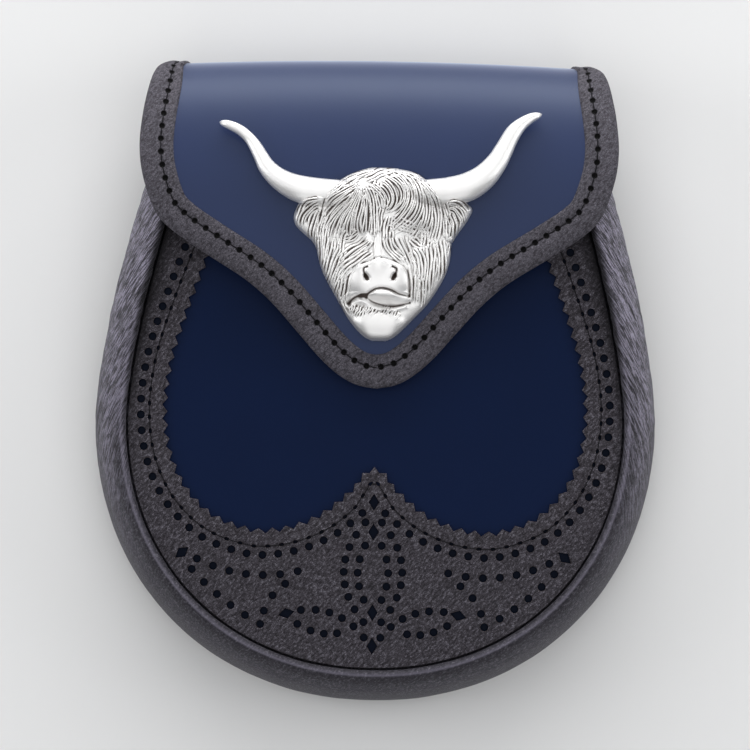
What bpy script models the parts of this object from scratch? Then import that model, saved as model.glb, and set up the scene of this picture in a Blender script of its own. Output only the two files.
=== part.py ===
"""Day sporran: a rounded leather pouch with a gusset, a brogued front and a bound flap with a badge.

The pouch is drawn in its own axes, x across, y up and z out of its front, with the outer face of
its back at z = 0. It then lies on its back on the ground, propped by the strap loops behind it.
Lengths are in metres.
"""

import math
from collections import namedtuple

import bmesh
import bpy
import numpy as np
from mathutils import Matrix, Vector

GAP = 0.0003  # clearance between neighbouring pieces

# Outline of the pouch: a squarish circle below, shoulders that narrow above
OUTLINE_CENTRE = -0.0129
OUTLINE_RADIUS = 0.0886
OUTLINE_POWER = 2.1
SHOULDER_RISE = 0.0643
SHOULDER_NARROWING = 0.0120
GUSSET_TOP = 0.0840
OUTLINE_STATIONS = 21  # along half of the outline

# Leather thicknesses
BACK_LEATHER = 0.0025
GUSSET_LEATHER = 0.0015
FRONT_LEATHER = 0.0020
BIB_LEATHER = 0.0012
FLAP_LEATHER = 0.0020
BINDING_LEATHER = 0.0010
LOOP_LEATHER = 0.0020

# Back
BACK_TOP = 0.0860
BACK_INSET = 0.0003
BACK_CORNER = 0.0120

# Front: the seam stands proud of the bib, most of all under the flap
SEAM_HEIGHT = 0.0340
SEAM_FALL_TOP = 0.0050
SEAM_FALL_START = 0.0300
RECESS_LOW = 0.0014
RECESS_HIGH = 0.0040
RECESS_FROM = -0.0600
RECESS_TO = 0.0600
FRONT_CROWN = 0.0016
CROWN_CENTRE = -0.0120
CROWN_RADIUS = 0.0780
FRONT_INSET = 0.01065
FRONT_TOP = 0.0700
FRONT_CORNER = 0.0080
FRONT_SLICE = 0.0250
FLAT_ANGLE = 0.001
FLANGE_DROP = BIB_LEATHER + FRONT_LEATHER + 2 * GAP

# One row for each point of the gusset's section, from the back round the bulge to the front flange:
# inset from the outline, share of the seam's height, what is added to it, and share of the recess
SectionRow = namedtuple("SectionRow", "inset share lift sunk")
GUSSET_SECTION = (
    SectionRow(0.0090, 0.00, BACK_LEATHER + GAP + GUSSET_LEATHER / 2, 0),
    SectionRow(0.0022, 0.00, BACK_LEATHER + GAP + GUSSET_LEATHER / 2, 0),
    SectionRow(0.0011, 0.00, 0.0047, 0),
    SectionRow(0.00075, 0.26, 0.0, 0),
    SectionRow(0.0014, 0.50, 0.0, 0),
    SectionRow(0.0030, 0.71, 0.0, 0),
    SectionRow(0.0048, 0.84, 0.0, 0),
    SectionRow(0.0066, 0.93, 0.0, 0),
    SectionRow(0.0082, 1.00, -GUSSET_LEATHER / 2, 0),
    SectionRow(0.0092, 1.00, -0.0014, 0),
    SectionRow(0.0096, 1.00, -FLANGE_DROP - GUSSET_LEATHER / 2, 1),
    SectionRow(0.0150, 1.00, -FLANGE_DROP - GUSSET_LEATHER / 2, 1),
)

# Bib: the line of border holes is its guide, and the pinked edge follows it
BorderGuide = namedtuple("BorderGuide", "x y")
BORDER_LINE = (
    BorderGuide(0.0500, 0.0680),
    BorderGuide(0.0607, 0.0411),
    BorderGuide(0.0689, 0.0181),
    BorderGuide(0.0726, 0.0037),
    BorderGuide(0.0739, -0.0111),
    BorderGuide(0.0718, -0.0260),
    BorderGuide(0.0654, -0.0395),
    BorderGuide(0.0545, -0.0499),
    BorderGuide(0.0404, -0.0551),
    BorderGuide(0.0302, -0.0552),
    BorderGuide(0.0204, -0.0528),
    BorderGuide(0.0113, -0.0483),
    BorderGuide(0.0034, -0.0418),
    BorderGuide(0.0000, -0.0385),
)
BORDER_PITCH = 0.0050
BORDER_HOLES = 15  # cut on each side, counted from the middle
BIB_INSET = FRONT_INSET + 0.0001
BIB_TOP = 0.0660
TOOTH_PITCH = 0.0042
TOOTH_TIP = 0.0084  # from the border line
TOOTH_ROOT = 0.0067
PEAK_TIP = -0.0274  # heights of the tip and the root lines in the middle
PEAK_ROOT = -0.0298
HOLE_RADIUS = 0.00125
HOLE_SIDES = 6
DIAMOND_WIDTH = 0.0030
DIAMOND_HEIGHT = 0.0050

# Each run of punched holes is a curve through three points; `skip` is a hole that another run has
HoleRun = namedtuple("HoleRun", "name holes start middle end skip")
HOLE_RUNS = (
    HoleRun("side_upper", 7, (0.0555, -0.0571), (0.0400, -0.0617), (0.0237, -0.0606), None),
    HoleRun("side_lower", 6, (0.0571, -0.0604), (0.0469, -0.0699), (0.0353, -0.0774), None),
    HoleRun("side_cross", 3, (0.0276, -0.0646), (0.0315, -0.0683), (0.0342, -0.0732), None),
    HoleRun("low_upper", 6, (0.0225, -0.0728), (0.0115, -0.0742), (0.0026, -0.0812), None),
    HoleRun("low_lower", 6, (0.0236, -0.0772), (0.0131, -0.0802), (0.0028, -0.0763), 4),
    HoleRun("braid_outer", 9, (0.0026, -0.0449), (0.0092, -0.0606), (0.0028, -0.0763), 8),
    HoleRun("braid_inner", 5, (0.0026, -0.0522), (0.0048, -0.0608), (0.0028, -0.0693), None),
)
Diamond = namedtuple("Diamond", "x y turn")
DIAMONDS = (
    Diamond(0.0, -0.0385, 0),
    Diamond(0.0, -0.0479, 0),
    Diamond(0.0, -0.0733, 0),
    Diamond(0.0, -0.0839, 0),
    Diamond(0.0603, -0.0552, 50),
    Diamond(0.0271, -0.0739, 75),
)

# Flap: its middle line in side view is a quarter ellipse in front of the crest and another behind
CREST_HEIGHT = 0.1005
CREST_DEPTH = 0.0120
FOLD_FRONT_REACH = 0.0425
FOLD_FRONT_RISE = 0.0246
FOLD_BACK_REACH = 0.0125
FLAP_BACK_DEPTH = -GAP - FLAP_LEATHER / 2
FLAP_BACK_END = 0.0740
TONGUE_END = -0.0045
TONGUE_SINK = 0.0016
TONGUE_RUN = 0.0600
CREST_SAG = 0.0020
CREST_SAG_WIDTH = 0.0700

# Outer edge of the binding: half width at each height in front, and behind the crest by the leather
EdgeGuide = namedtuple("EdgeGuide", "half_width height")
FLAP_EDGE_FRONT = (
    EdgeGuide(0.0708, 0.0998),
    EdgeGuide(0.0729, 0.0930),
    EdgeGuide(0.0748, 0.0825),
    EdgeGuide(0.0755, 0.0725),
    EdgeGuide(0.0742, 0.0628),
    EdgeGuide(0.0703, 0.0522),
    EdgeGuide(0.0647, 0.0461),
    EdgeGuide(0.0545, 0.0392),
    EdgeGuide(0.0418, 0.0312),
    EdgeGuide(0.0334, 0.0241),
    EdgeGuide(0.0250, 0.0148),
    EdgeGuide(0.0178, 0.0067),
    EdgeGuide(0.0119, 0.0015),
    EdgeGuide(0.0062, -0.0016),
    EdgeGuide(0.0000, -0.0028),
)
BackGuide = namedtuple("BackGuide", "half_width along")
FLAP_EDGE_BACK = (
    BackGuide(0.0650, -0.0330),
    BackGuide(0.0664, -0.0220),
    BackGuide(0.0679, -0.0110),
    BackGuide(0.0693, 0.0),
)
FLAP_INSET = 0.0018  # from the binding's outer edge to the flap's own edge
FLAP_ROWS = 36
FLAP_COLUMNS = 6
BEND_SHARE = 0.0400  # length that a bend of one radian counts as, when the rows are spread
BINDING_START = -0.0170  # behind the crest, just above the back panel

# The binding's section, outward from the flap's edge and up from the flap's middle
BindingRow = namedtuple("BindingRow", "out lift")
INNER_LIFT = FLAP_LEATHER / 2 + GAP
OUTER_LIFT = INNER_LIFT + BINDING_LEATHER
BINDING_SECTION = (
    BindingRow(-0.0088, INNER_LIFT),
    BindingRow(-0.0085, OUTER_LIFT),
    BindingRow(-0.0012, OUTER_LIFT),
    BindingRow(0.0008, 0.0017),
    BindingRow(0.0018, 0.0),
    BindingRow(0.0008, -0.0017),
    BindingRow(-0.0012, -OUTER_LIFT),
    BindingRow(-0.0060, -OUTER_LIFT),
    BindingRow(-0.0060, -INNER_LIFT),
    BindingRow(GAP, -INNER_LIFT),
    BindingRow(GAP, INNER_LIFT),
)

# Badge: rows of the head from the crown to the chin, with its left and right edges
HeadRow = namedtuple("HeadRow", "y left right")
HEAD_ROWS = (
    HeadRow(0.0668, -0.0022, 0.0041),
    HeadRow(0.0656, -0.0066, 0.0108),
    HeadRow(0.0637, -0.0107, 0.0142),
    HeadRow(0.0600, -0.0153, 0.0181),
    HeadRow(0.0536, -0.0187, 0.0210),
    HeadRow(0.0441, -0.0195, 0.0230),
    HeadRow(0.0347, -0.0176, 0.0219),
    HeadRow(0.0252, -0.0126, 0.0167),
    HeadRow(0.0183, -0.0084, 0.0105),
    HeadRow(0.0139, -0.0044, 0.0060),
    HeadRow(0.0123, -0.0014, 0.0030),
)
HEAD_LINES = 29
HEAD_COLUMNS = 22
HEAD_EDGE = 0.0018
HEAD_DOME = 0.0036
LOCK_DEPTH = 0.00040
LOCK_WIDTH = 0.0050
LOCK_PARTING = 0.0600  # the locks part at this height and lean outward below it
LOCK_LEAN = 11.0
HAIR_END = 0.0385  # and they fade out over the muzzle
HAIR_FADE = 0.0012

# Raised and sunk features of the face: centre, half width, half height, and height added
Feature = namedtuple("Feature", "name x y half_width half_height rise")
FEATURES = (
    Feature("muzzle", 0.0010, 0.0322, 0.0100, 0.0072, 0.0026),
    Feature("nostril_left", -0.0036, 0.0332, 0.0017, 0.0022, -0.0013),
    Feature("nostril_right", 0.0056, 0.0336, 0.0017, 0.0022, -0.0013),
    Feature("mouth", 0.0008, 0.0254, 0.0098, 0.0016, -0.0014),
    Feature("tongue", 0.0046, 0.0258, 0.0056, 0.0019, 0.0021),
    Feature("chin", 0.0011, 0.0190, 0.0070, 0.0046, 0.0010),
    Feature("forelock", 0.0025, 0.0580, 0.0110, 0.0080, 0.0009),
    Feature("brow_left", -0.0110, 0.0520, 0.0055, 0.0045, 0.0010),
    Feature("brow_right", 0.0135, 0.0525, 0.0060, 0.0050, 0.0012),
    Feature("eye_left", -0.0080, 0.0445, 0.0042, 0.0030, -0.0011),
    Feature("eye_right", 0.0128, 0.0455, 0.0042, 0.0032, -0.0013),
    Feature("nose_bridge", 0.0002, 0.0430, 0.0032, 0.0085, 0.0009),
    Feature("cheek_left", -0.0125, 0.0340, 0.0038, 0.0080, 0.0006),
    Feature("cheek_right", 0.0150, 0.0350, 0.0042, 0.0090, 0.0007),
)

HornRow = namedtuple("HornRow", "x y radius")
HORN_LEFT = (
    HornRow(-0.0100, 0.0590, 0.0034),
    HornRow(-0.0169, 0.0596, 0.0039),
    HornRow(-0.0238, 0.0602, 0.0040),
    HornRow(-0.0292, 0.0632, 0.0034),
    HornRow(-0.0353, 0.0669, 0.0026),
    HornRow(-0.0388, 0.0722, 0.0020),
    HornRow(-0.0424, 0.0763, 0.0018),
    HornRow(-0.0471, 0.0794, 0.0015),
    HornRow(-0.0505, 0.0806, 0.0006),
)
HORN_RIGHT = (
    HornRow(0.0120, 0.0595, 0.0034),
    HornRow(0.0193, 0.0602, 0.0039),
    HornRow(0.0253, 0.0606, 0.0042),
    HornRow(0.0303, 0.0629, 0.0042),
    HornRow(0.0347, 0.0664, 0.0039),
    HornRow(0.0386, 0.0721, 0.0033),
    HornRow(0.0419, 0.0775, 0.0026),
    HornRow(0.0469, 0.0822, 0.0018),
    HornRow(0.0511, 0.0846, 0.0006),
)
HORN_POINTS = 13
HORN_LIFT = 0.0002  # clear of the head's seat
HORN_FOLLOW = 0.6  # share of the leather's fall that the horns follow

Ear = namedtuple("Ear", "x y half_width half_height turn")
EARS = (
    Ear(-0.0212, 0.0508, 0.0052, 0.0078, -32),
    Ear(0.0240, 0.0514, 0.0050, 0.0078, 36),
)
EAR_RISE = 0.0042
EAR_LIFT = 0.0003
BADGE_SEAT = FLAP_LEATHER / 2 + GAP  # above the flap's middle line
POSTS = ((-0.0080, 0.0520), (0.0100, 0.0520))
POST_RADIUS = 0.0015
POST_LENGTH = 0.0030
POST_SIDES = 10
POST_HOLE_DEPTH = 0.0100

STUD_PLACE = (0.0, 0.0150)
STUD_RADIUS = 0.0050
STUD_SIDES = 16

# Strap loops behind: each a strip with its two ends flat on the back
LOOP_OFFSET = 0.0350
LOOP_WIDTH = 0.0220
LOOP_TOP = 0.0700
LOOP_BOTTOM = 0.0220
LOOP_FOOT = 0.0080
LOOP_RAMP = 0.0040
LOOP_CLEAR = 0.0052
LOOP_SHIFT = 0.0009  # of the ramps' outer corners, so that the ramps are as thick as the strip

MERGE = 0.00001
SHARP_ANGLE = math.radians(35)

Finish = namedtuple("Finish", "colour roughness metallic")
FINISHES = {
    "charcoal_leather": Finish((0.060, 0.057, 0.066), 0.55, 0.0),
    "navy_leather": Finish((0.026, 0.036, 0.075), 0.42, 0.0),
    "brogue_leather": Finish((0.052, 0.048, 0.052), 0.60, 0.0),
    "pewter": Finish((0.62, 0.61, 0.58), 0.32, 1.0),
    "dark_metal": Finish((0.20, 0.20, 0.21), 0.40, 1.0),
}


def smooth_line(guides, steps=12):
    """A smooth curve through the guide points, as a dense polyline."""
    points = np.array([tuple(guide)[:2] for guide in guides])
    ends = np.vstack([2 * points[0] - points[1], points, 2 * points[-1] - points[-2]])
    line = []
    for before, start, stop, after in zip(ends, ends[1:], ends[2:], ends[3:]):
        for t in np.arange(steps) / steps:
            line.append(
                0.5 * (2 * start + (stop - before) * t
                       + (2 * before - 5 * start + 4 * stop - after) * t ** 2
                       + (3 * start - before - 3 * stop + after) * t ** 3)
            )
    return np.vstack([line, points[-1]])


def distances(line):
    steps = np.linalg.norm(np.diff(line, axis=0), axis=1)
    return np.concatenate([[0.0], np.cumsum(steps)])


def at_distances(line, wanted):
    along = distances(line)
    return np.column_stack([np.interp(wanted, along, column) for column in line.T])


def evenly(line, count):
    return at_distances(line, np.linspace(0.0, distances(line)[-1], count))


def offset(line, inset):
    """The line moved to its left."""
    tangent = np.gradient(line, axis=0)
    tangent /= np.linalg.norm(tangent, axis=1)[:, None]
    return line + inset * np.column_stack([-tangent[:, 1], tangent[:, 0]])


def mirrored(points):
    return [(-x, y) for x, y in points]


def pouch_ring(inset, top, stations=OUTLINE_STATIONS):
    """The pouch's outline moved inward, from its upper left round the bottom to its upper right."""
    angles = np.linspace(math.pi / 2, 0.0, 91)
    power = 2 / OUTLINE_POWER
    lower = np.column_stack([
        OUTLINE_RADIUS * np.maximum(np.cos(angles), 0.0) ** power,
        OUTLINE_CENTRE - OUTLINE_RADIUS * np.sin(angles) ** power,
    ])
    heights = np.linspace(OUTLINE_CENTRE, top + SHOULDER_NARROWING, 60)[1:]
    rise = (heights - OUTLINE_CENTRE) / SHOULDER_RISE
    upper = np.column_stack([OUTLINE_RADIUS - SHOULDER_NARROWING * rise ** 1.5, heights])
    line = offset(np.vstack([lower, upper]), inset)
    line[0, 0] = 0.0
    last = np.argmax(line[:, 1] > top)
    share = (top - line[last - 1, 1]) / (line[last, 1] - line[last - 1, 1])
    cut = line[last - 1] + share * (line[last] - line[last - 1])
    right = evenly(np.vstack([line[:last], cut]), stations)
    left = [(-x, y) for x, y in right[:0:-1]]
    return left + [tuple(point) for point in right]


def rounded_top(ring, radius, steps=4):
    """The ring closed across its top with rounded corners."""
    top, half = ring[-1][1], ring[-1][0]
    corner = [
        (half - radius + radius * math.cos(turn), top + radius * math.sin(turn))
        for turn in (math.pi / 2 * (step + 1) / steps for step in range(steps))
    ]
    return list(ring) + corner + mirrored(corner[::-1])


def seam_height(y):
    above = max(0.0, y - SEAM_FALL_START) / (GUSSET_TOP - SEAM_FALL_START)
    return SEAM_HEIGHT - SEAM_FALL_TOP * above ** 2


def recess(y):
    t = min(1.0, max(0.0, (y - RECESS_FROM) / (RECESS_TO - RECESS_FROM)))
    return RECESS_LOW + (RECESS_HIGH - RECESS_LOW) * t * t * (3 - 2 * t)


def bib_surface(x, y):
    """Height of the bib's outer face."""
    away = (x * x + (y - CROWN_CENTRE) ** 2) / CROWN_RADIUS ** 2
    return seam_height(y) - recess(y) + FRONT_CROWN * max(0.0, 1.0 - away)


def front_surface(x, y):
    return bib_surface(x, y) - BIB_LEATHER - GAP


def fold_line():
    """The flap's middle line in side view, as rows of y and z, from its back end to its tongue."""
    turns = np.radians(np.linspace(90, 0, 24))
    straight = np.array([[FLAP_BACK_END, FLAP_BACK_DEPTH]])
    behind = np.column_stack([
        CREST_HEIGHT - FOLD_BACK_REACH + FOLD_BACK_REACH * np.cos(turns),
        CREST_DEPTH - (CREST_DEPTH - FLAP_BACK_DEPTH) * np.sin(turns),
    ])
    turns = np.radians(np.linspace(0, 90, 40))[1:]
    before = np.column_stack([
        CREST_HEIGHT - FOLD_FRONT_REACH + FOLD_FRONT_REACH * np.cos(turns),
        CREST_DEPTH + FOLD_FRONT_RISE * np.sin(turns),
    ])
    start, depth = before[-1]
    heights = np.linspace(start, TONGUE_END, 20)[1:]
    tongue = np.column_stack([
        heights, depth - TONGUE_SINK * ((start - heights) / TONGUE_RUN) ** 2,
    ])
    return np.vstack([straight, behind, before, tongue]), len(straight) + len(behind) - 1


FOLD, FOLD_CREST = fold_line()
FOLD_ALONG = distances(FOLD) - distances(FOLD)[FOLD_CREST]
FOLD_NORMAL = offset(FOLD, -1.0) - FOLD


def along_at(height):
    """Leather length from the crest to a height on the flap's front."""
    front = slice(FOLD_CREST, None)
    return float(np.interp(-height, -FOLD[front, 0], FOLD_ALONG[front]))


def on_flap(x, along, lift=0.0):
    """The point of the flap at x across and this far from the crest, lifted from its middle."""
    y, z, out_y, out_z = (
        float(np.interp(along, FOLD_ALONG, column))
        for column in (*FOLD.T, *FOLD_NORMAL.T)
    )
    lift -= CREST_SAG * (x / CREST_SAG_WIDTH) ** 2 * max(0.0, out_y)
    return Vector((x, y + lift * out_y, z + lift * out_z))


def flap_surface(y):
    """Height of the middle of the flap's front."""
    return on_flap(0.0, along_at(y)).z


def binding_edge():
    """Half of the flap's outer edge laid flat, x and leather length, from the back to the tongue."""
    front = [(guide.half_width, along_at(guide.height)) for guide in FLAP_EDGE_FRONT]
    return smooth_line(list(FLAP_EDGE_BACK) + front)


def flap_stations():
    """Rows along half of the flap's own edge, closest where it bends: place, then outward way."""
    edge = binding_edge()
    base = offset(edge, FLAP_INSET)
    ways = np.diff([on_flap(x, along) for x, along in base], axis=0)
    lengths = np.linalg.norm(ways, axis=1)
    ways /= lengths[:, None]
    bends = np.arccos(np.clip((ways[1:] * ways[:-1]).sum(axis=1), -1, 1))
    measure = np.cumsum(np.append(0.0, lengths + BEND_SHARE * np.append(0.0, bends)))
    wanted = np.linspace(0.0, measure[-1], FLAP_ROWS)
    columns = (*base.T, *((edge - base) / FLAP_INSET).T)
    rows = np.column_stack([np.interp(wanted, measure, column) for column in columns])
    rows[-1] = (0.0, rows[-1, 1], 0.0, 1.0)
    return rows


def collection(name):
    made = bpy.data.collections.new(name)
    bpy.context.scene.collection.children.link(made)
    return made


def material(name):
    finish = FINISHES[name]
    made = bpy.data.materials.get(name) or bpy.data.materials.new(name)
    made.use_nodes = True
    shader = made.node_tree.nodes["Principled BSDF"]
    shader.inputs["Base Color"].default_value = (*finish.colour, 1.0)
    shader.inputs["Roughness"].default_value = finish.roughness
    shader.inputs["Metallic"].default_value = finish.metallic
    return made


def add_object(name, mesh, finish, group):
    mesh.materials.clear()
    mesh.materials.append(material(finish))
    mesh.shade_smooth()
    mesh.set_sharp_from_angle(angle=SHARP_ANGLE)
    made = bpy.data.objects.new(name, mesh)
    group.objects.link(made)
    return made


def mesh_from(bm, name):
    bmesh.ops.recalc_face_normals(bm, faces=bm.faces)
    mesh = bpy.data.meshes.new(name)
    bm.to_mesh(mesh)
    bm.free()
    return mesh


def flat_mesh(name, outlines, thickness):
    """A flat plate of these outlines, the later ones being holes in the first."""
    curve = bpy.data.curves.new(name, "CURVE")
    curve.dimensions = "2D"
    curve.fill_mode = "BOTH"
    curve.extrude = thickness / 2
    for outline in outlines:
        spline = curve.splines.new("POLY")
        spline.points.add(len(outline) - 1)
        for point, (x, y) in zip(spline.points, outline):
            point.co = (x, y, 0.0, 1.0)
        spline.use_cyclic_u = True
    holder = bpy.data.objects.new(name, curve)
    bpy.context.scene.collection.objects.link(holder)
    bpy.context.view_layer.update()
    evaluated = holder.evaluated_get(bpy.context.evaluated_depsgraph_get())
    mesh = bpy.data.meshes.new_from_object(evaluated)
    bpy.data.objects.remove(holder)
    bpy.data.curves.remove(curve)
    bm = bmesh.new()
    bm.from_mesh(mesh)
    bpy.data.meshes.remove(mesh)
    bmesh.ops.remove_doubles(bm, verts=bm.verts, dist=MERGE)
    return bm


def shaped_plate(name, outlines, thickness, surface, slice_width=None):
    """A plate whose outer face follows surface(x, y)."""
    bm = flat_mesh(name, outlines, thickness)
    bmesh.ops.dissolve_limit(bm, angle_limit=FLAT_ANGLE, verts=bm.verts, edges=bm.edges)
    if slice_width:
        reach = int(OUTLINE_RADIUS / slice_width)
        for axis in (Vector((1, 0, 0)), Vector((0, 1, 0))):
            for step in range(-reach, reach + 1):
                everything = bm.verts[:] + bm.edges[:] + bm.faces[:]
                bmesh.ops.bisect_plane(
                    bm, geom=everything, dist=MERGE / 10,
                    plane_co=axis * (step * slice_width), plane_no=axis,
                )
    bmesh.ops.triangulate(bm, faces=bm.faces)
    for vert in bm.verts:
        under = thickness if vert.co.z < 0 else 0.0
        vert.co.z = surface(vert.co.x, vert.co.y) - under
    return mesh_from(bm, name)


def lofted(name, rings, closed_section=False):
    """Faces between rings of equally many points; a closed section gets its two end caps."""
    bm = bmesh.new()
    verts = [[bm.verts.new(point) for point in ring] for ring in rings]
    for ring, following in zip(verts, verts[1:]):
        pairs = list(zip(ring, ring[1:], following, following[1:]))
        if closed_section:
            pairs.append((ring[-1], ring[0], following[-1], following[0]))
        for a, b, c, d in pairs:
            bm.faces.new((a, b, d, c))
    if closed_section:
        bm.faces.new(verts[0][::-1])
        bm.faces.new(verts[-1])
    return mesh_from(bm, name)


def solidified(obj, thickness):
    shell = obj.modifiers.new("leather", "SOLIDIFY")
    shell.thickness = thickness
    shell.offset = 0.0
    shell.use_even_offset = True
    return obj


def add_back_panel(group):
    outline = rounded_top(pouch_ring(BACK_INSET, BACK_TOP - BACK_CORNER), BACK_CORNER)
    bm = flat_mesh("back_panel", [outline], BACK_LEATHER)
    bmesh.ops.translate(bm, verts=bm.verts, vec=(0, 0, BACK_LEATHER / 2))
    return add_object("back_panel", mesh_from(bm, "back_panel"), "charcoal_leather", group)


def add_gusset(group):
    rings = []
    for row in GUSSET_SECTION:
        ring = pouch_ring(row.inset, GUSSET_TOP)
        rings.append([
            (x, y, row.share * seam_height(y) + row.lift - row.sunk * recess(y))
            for x, y in ring
        ])
    gusset = add_object("gusset", lofted("gusset", rings), "charcoal_leather", group)
    return solidified(gusset, GUSSET_LEATHER)


def add_front_panel(group):
    outline = rounded_top(pouch_ring(FRONT_INSET, FRONT_TOP - FRONT_CORNER), FRONT_CORNER)
    mesh = shaped_plate("front_panel", [outline], FRONT_LEATHER, front_surface, FRONT_SLICE)
    return add_object("front_panel", mesh, "navy_leather", group)


def pinked_edge():
    """The bib's sawtooth inner edge on the right, from its top to the peak in the middle."""
    border = smooth_line(BORDER_LINE)
    tips = np.vstack([offset(border, -TOOTH_TIP), (0.0, PEAK_TIP)])[::-1]
    roots = np.vstack([offset(border, -TOOTH_ROOT), (0.0, PEAK_ROOT)])[::-1]
    along = distances(tips)
    teeth = []
    for count in range(int(along[-1] / TOOTH_PITCH) + 1):
        for line, shift in ((tips, 0.0), (roots, 0.5)):
            place = (count + shift) * TOOTH_PITCH
            teeth.append([np.interp(place, along, column) for column in line.T])
    return [(x, y) for x, y in teeth[::-1] if y < BIB_TOP]


def circle(x, y, radius, sides):
    turns = [2 * math.pi * (side + 0.5) / sides for side in range(sides)]
    return [(x + radius * math.cos(turn), y + radius * math.sin(turn)) for turn in turns]


def diamond(place, side):
    turn = math.radians(place.turn) * side
    corners = ((DIAMOND_WIDTH / 2, 0), (0, DIAMOND_HEIGHT / 2))
    corners += tuple((-x, -y) for x, y in corners)
    return [
        (place.x * side + x * math.cos(turn) - y * math.sin(turn),
         place.y + x * math.sin(turn) + y * math.cos(turn))
        for x, y in corners
    ]


def run_places(run):
    """The holes of a run, spaced along the parabola through its three points."""
    places = []
    for hole in range(run.holes):
        if hole == run.skip:
            continue
        t = hole / (run.holes - 1)
        weights = ((2 * t - 1) * (t - 1), 4 * t * (1 - t), t * (2 * t - 1))
        guides = (run.start, run.middle, run.end)
        places.append(tuple(
            sum(weight * guide[axis] for weight, guide in zip(weights, guides))
            for axis in (0, 1)
        ))
    return places


def border_places():
    line = smooth_line(BORDER_LINE)[::-1]
    wanted = [BORDER_PITCH * (hole + 1) for hole in range(BORDER_HOLES)]
    return [tuple(point) for point in at_distances(line, wanted)]


def add_bib(group):
    outer = pouch_ring(BIB_INSET, BIB_TOP)
    inner = pinked_edge()
    outline = outer + inner + mirrored(inner[-2::-1])
    holes = []
    for x, y in border_places() + [place for run in HOLE_RUNS for place in run_places(run)]:
        holes += [circle(x, y, HOLE_RADIUS, HOLE_SIDES), circle(-x, y, HOLE_RADIUS, HOLE_SIDES)]
    for place in DIAMONDS:
        holes += [diamond(place, side) for side in ((1, -1) if place.x else (1,))]
    mesh = shaped_plate("bib", [outline] + holes, BIB_LEATHER, bib_surface, FRONT_SLICE)
    return add_object("bib", mesh, "brogue_leather", group)


def add_flap(group, cutters):
    rings = []
    for half_width, along, _, _ in flap_stations()[:-1]:
        shares = np.linspace(-1, 1, FLAP_COLUMNS + 1)
        rings.append([on_flap(half_width * share, along) for share in shares])
    flap = add_object("flap", lofted("flap", rings), "navy_leather", group)
    solidified(flap, FLAP_LEATHER)
    for number, (x, y) in enumerate(POSTS):
        cutter = add_post(
            f"post_hole_{number}", x, y, POST_RADIUS + GAP, 2 * POST_HOLE_DEPTH, cutters,
        )
        cutter.location.z = POST_HOLE_DEPTH
        cutter.hide_render = True
        cutter.display_type = "WIRE"
        cut = flap.modifiers.new(cutter.name, "BOOLEAN")
        cut.operation = "DIFFERENCE"
        cut.object = cutter
    return flap


def add_flap_binding(group):
    right = [tuple(row) for row in flap_stations() if row[1] > BINDING_START]
    left = [(-x, along, -out_x, out_along) for x, along, out_x, out_along in right[:-1]]
    rings = []
    for x, along, out_x, out_along in right + left[::-1]:
        rings.append([
            on_flap(x + row.out * out_x, along + row.out * out_along, row.lift)
            for row in BINDING_SECTION
        ])
    mesh = lofted("flap_binding", rings, closed_section=True)
    return add_object("flap_binding", mesh, "charcoal_leather", group)


def face_relief(x, y, across, down):
    """Height of the casting's face; across runs from -1 to 1 and down from 0 at the crown to 1."""
    swell = math.sqrt(max(0.0, 1 - across ** 4)) * math.sqrt(max(0.0, 1 - (2 * down - 1) ** 6))
    height = HEAD_EDGE + HEAD_DOME * swell
    for part in FEATURES:
        away = ((x - part.x) / part.half_width) ** 2 + ((y - part.y) / part.half_height) ** 2
        height += part.rise * swell * math.exp(-away ** 2)
    hair = 1 / (1 + math.exp((HAIR_END - y) / HAIR_FADE))
    fanned = abs(x) * (1 - LOCK_LEAN * (LOCK_PARTING - y))
    height += LOCK_DEPTH * swell * hair * math.cos(2 * math.pi * fanned / LOCK_WIDTH)
    return max(height, HEAD_EDGE)


def head_mesh():
    heights = np.array([row.y for row in HEAD_ROWS])
    lefts = smooth_line([(row.y, row.left) for row in HEAD_ROWS])
    rights = smooth_line([(row.y, row.right) for row in HEAD_ROWS])
    steps = np.linspace(0.0, 1.0, HEAD_LINES)
    downs = (steps + (1 - np.cos(math.pi * steps)) / 2) / 2
    steps = np.linspace(-1.0, 1.0, HEAD_COLUMNS + 1)
    acrosses = (steps + np.sin(steps * math.pi / 2)) / 2
    front, back = [], []
    for down in downs:
        y = heights[0] + (heights[-1] - heights[0]) * down
        left = np.interp(-y, -lefts[:, 0], lefts[:, 1])
        right = np.interp(-y, -rights[:, 0], rights[:, 1])
        xs = [(left + right) / 2 + across * (right - left) / 2 for across in acrosses]
        seat = flap_surface(y) + BADGE_SEAT
        front.append([
            (x, y, seat + face_relief(x, y, across, down)) for x, across in zip(xs, acrosses)
        ])
        back.append([(xs[0], y, seat), (xs[-1], y, seat)])
    bm = bmesh.new()
    tops = [[bm.verts.new(point) for point in row] for row in front]
    lows = [[bm.verts.new(point) for point in row] for row in back]
    for top, below, low, lower in zip(tops, tops[1:], lows, lows[1:]):
        for a, b, c, d in zip(top, top[1:], below, below[1:]):
            bm.faces.new((a, c, d, b))
        bm.faces.new((low[0], lower[0], below[0], top[0]))
        bm.faces.new((top[-1], below[-1], lower[1], low[1]))
        bm.faces.new((low[0], low[1], lower[1], lower[0]))
    for top, (first, last) in ((tops[0], lows[0]), (tops[-1], lows[-1])):
        for a, b in zip(top, top[1:]):
            bm.faces.new((first, a, b))
        bm.faces.new((first, top[-1], last))
    bmesh.ops.triangulate(bm, faces=bm.faces)
    return mesh_from(bm, "badge")


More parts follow.
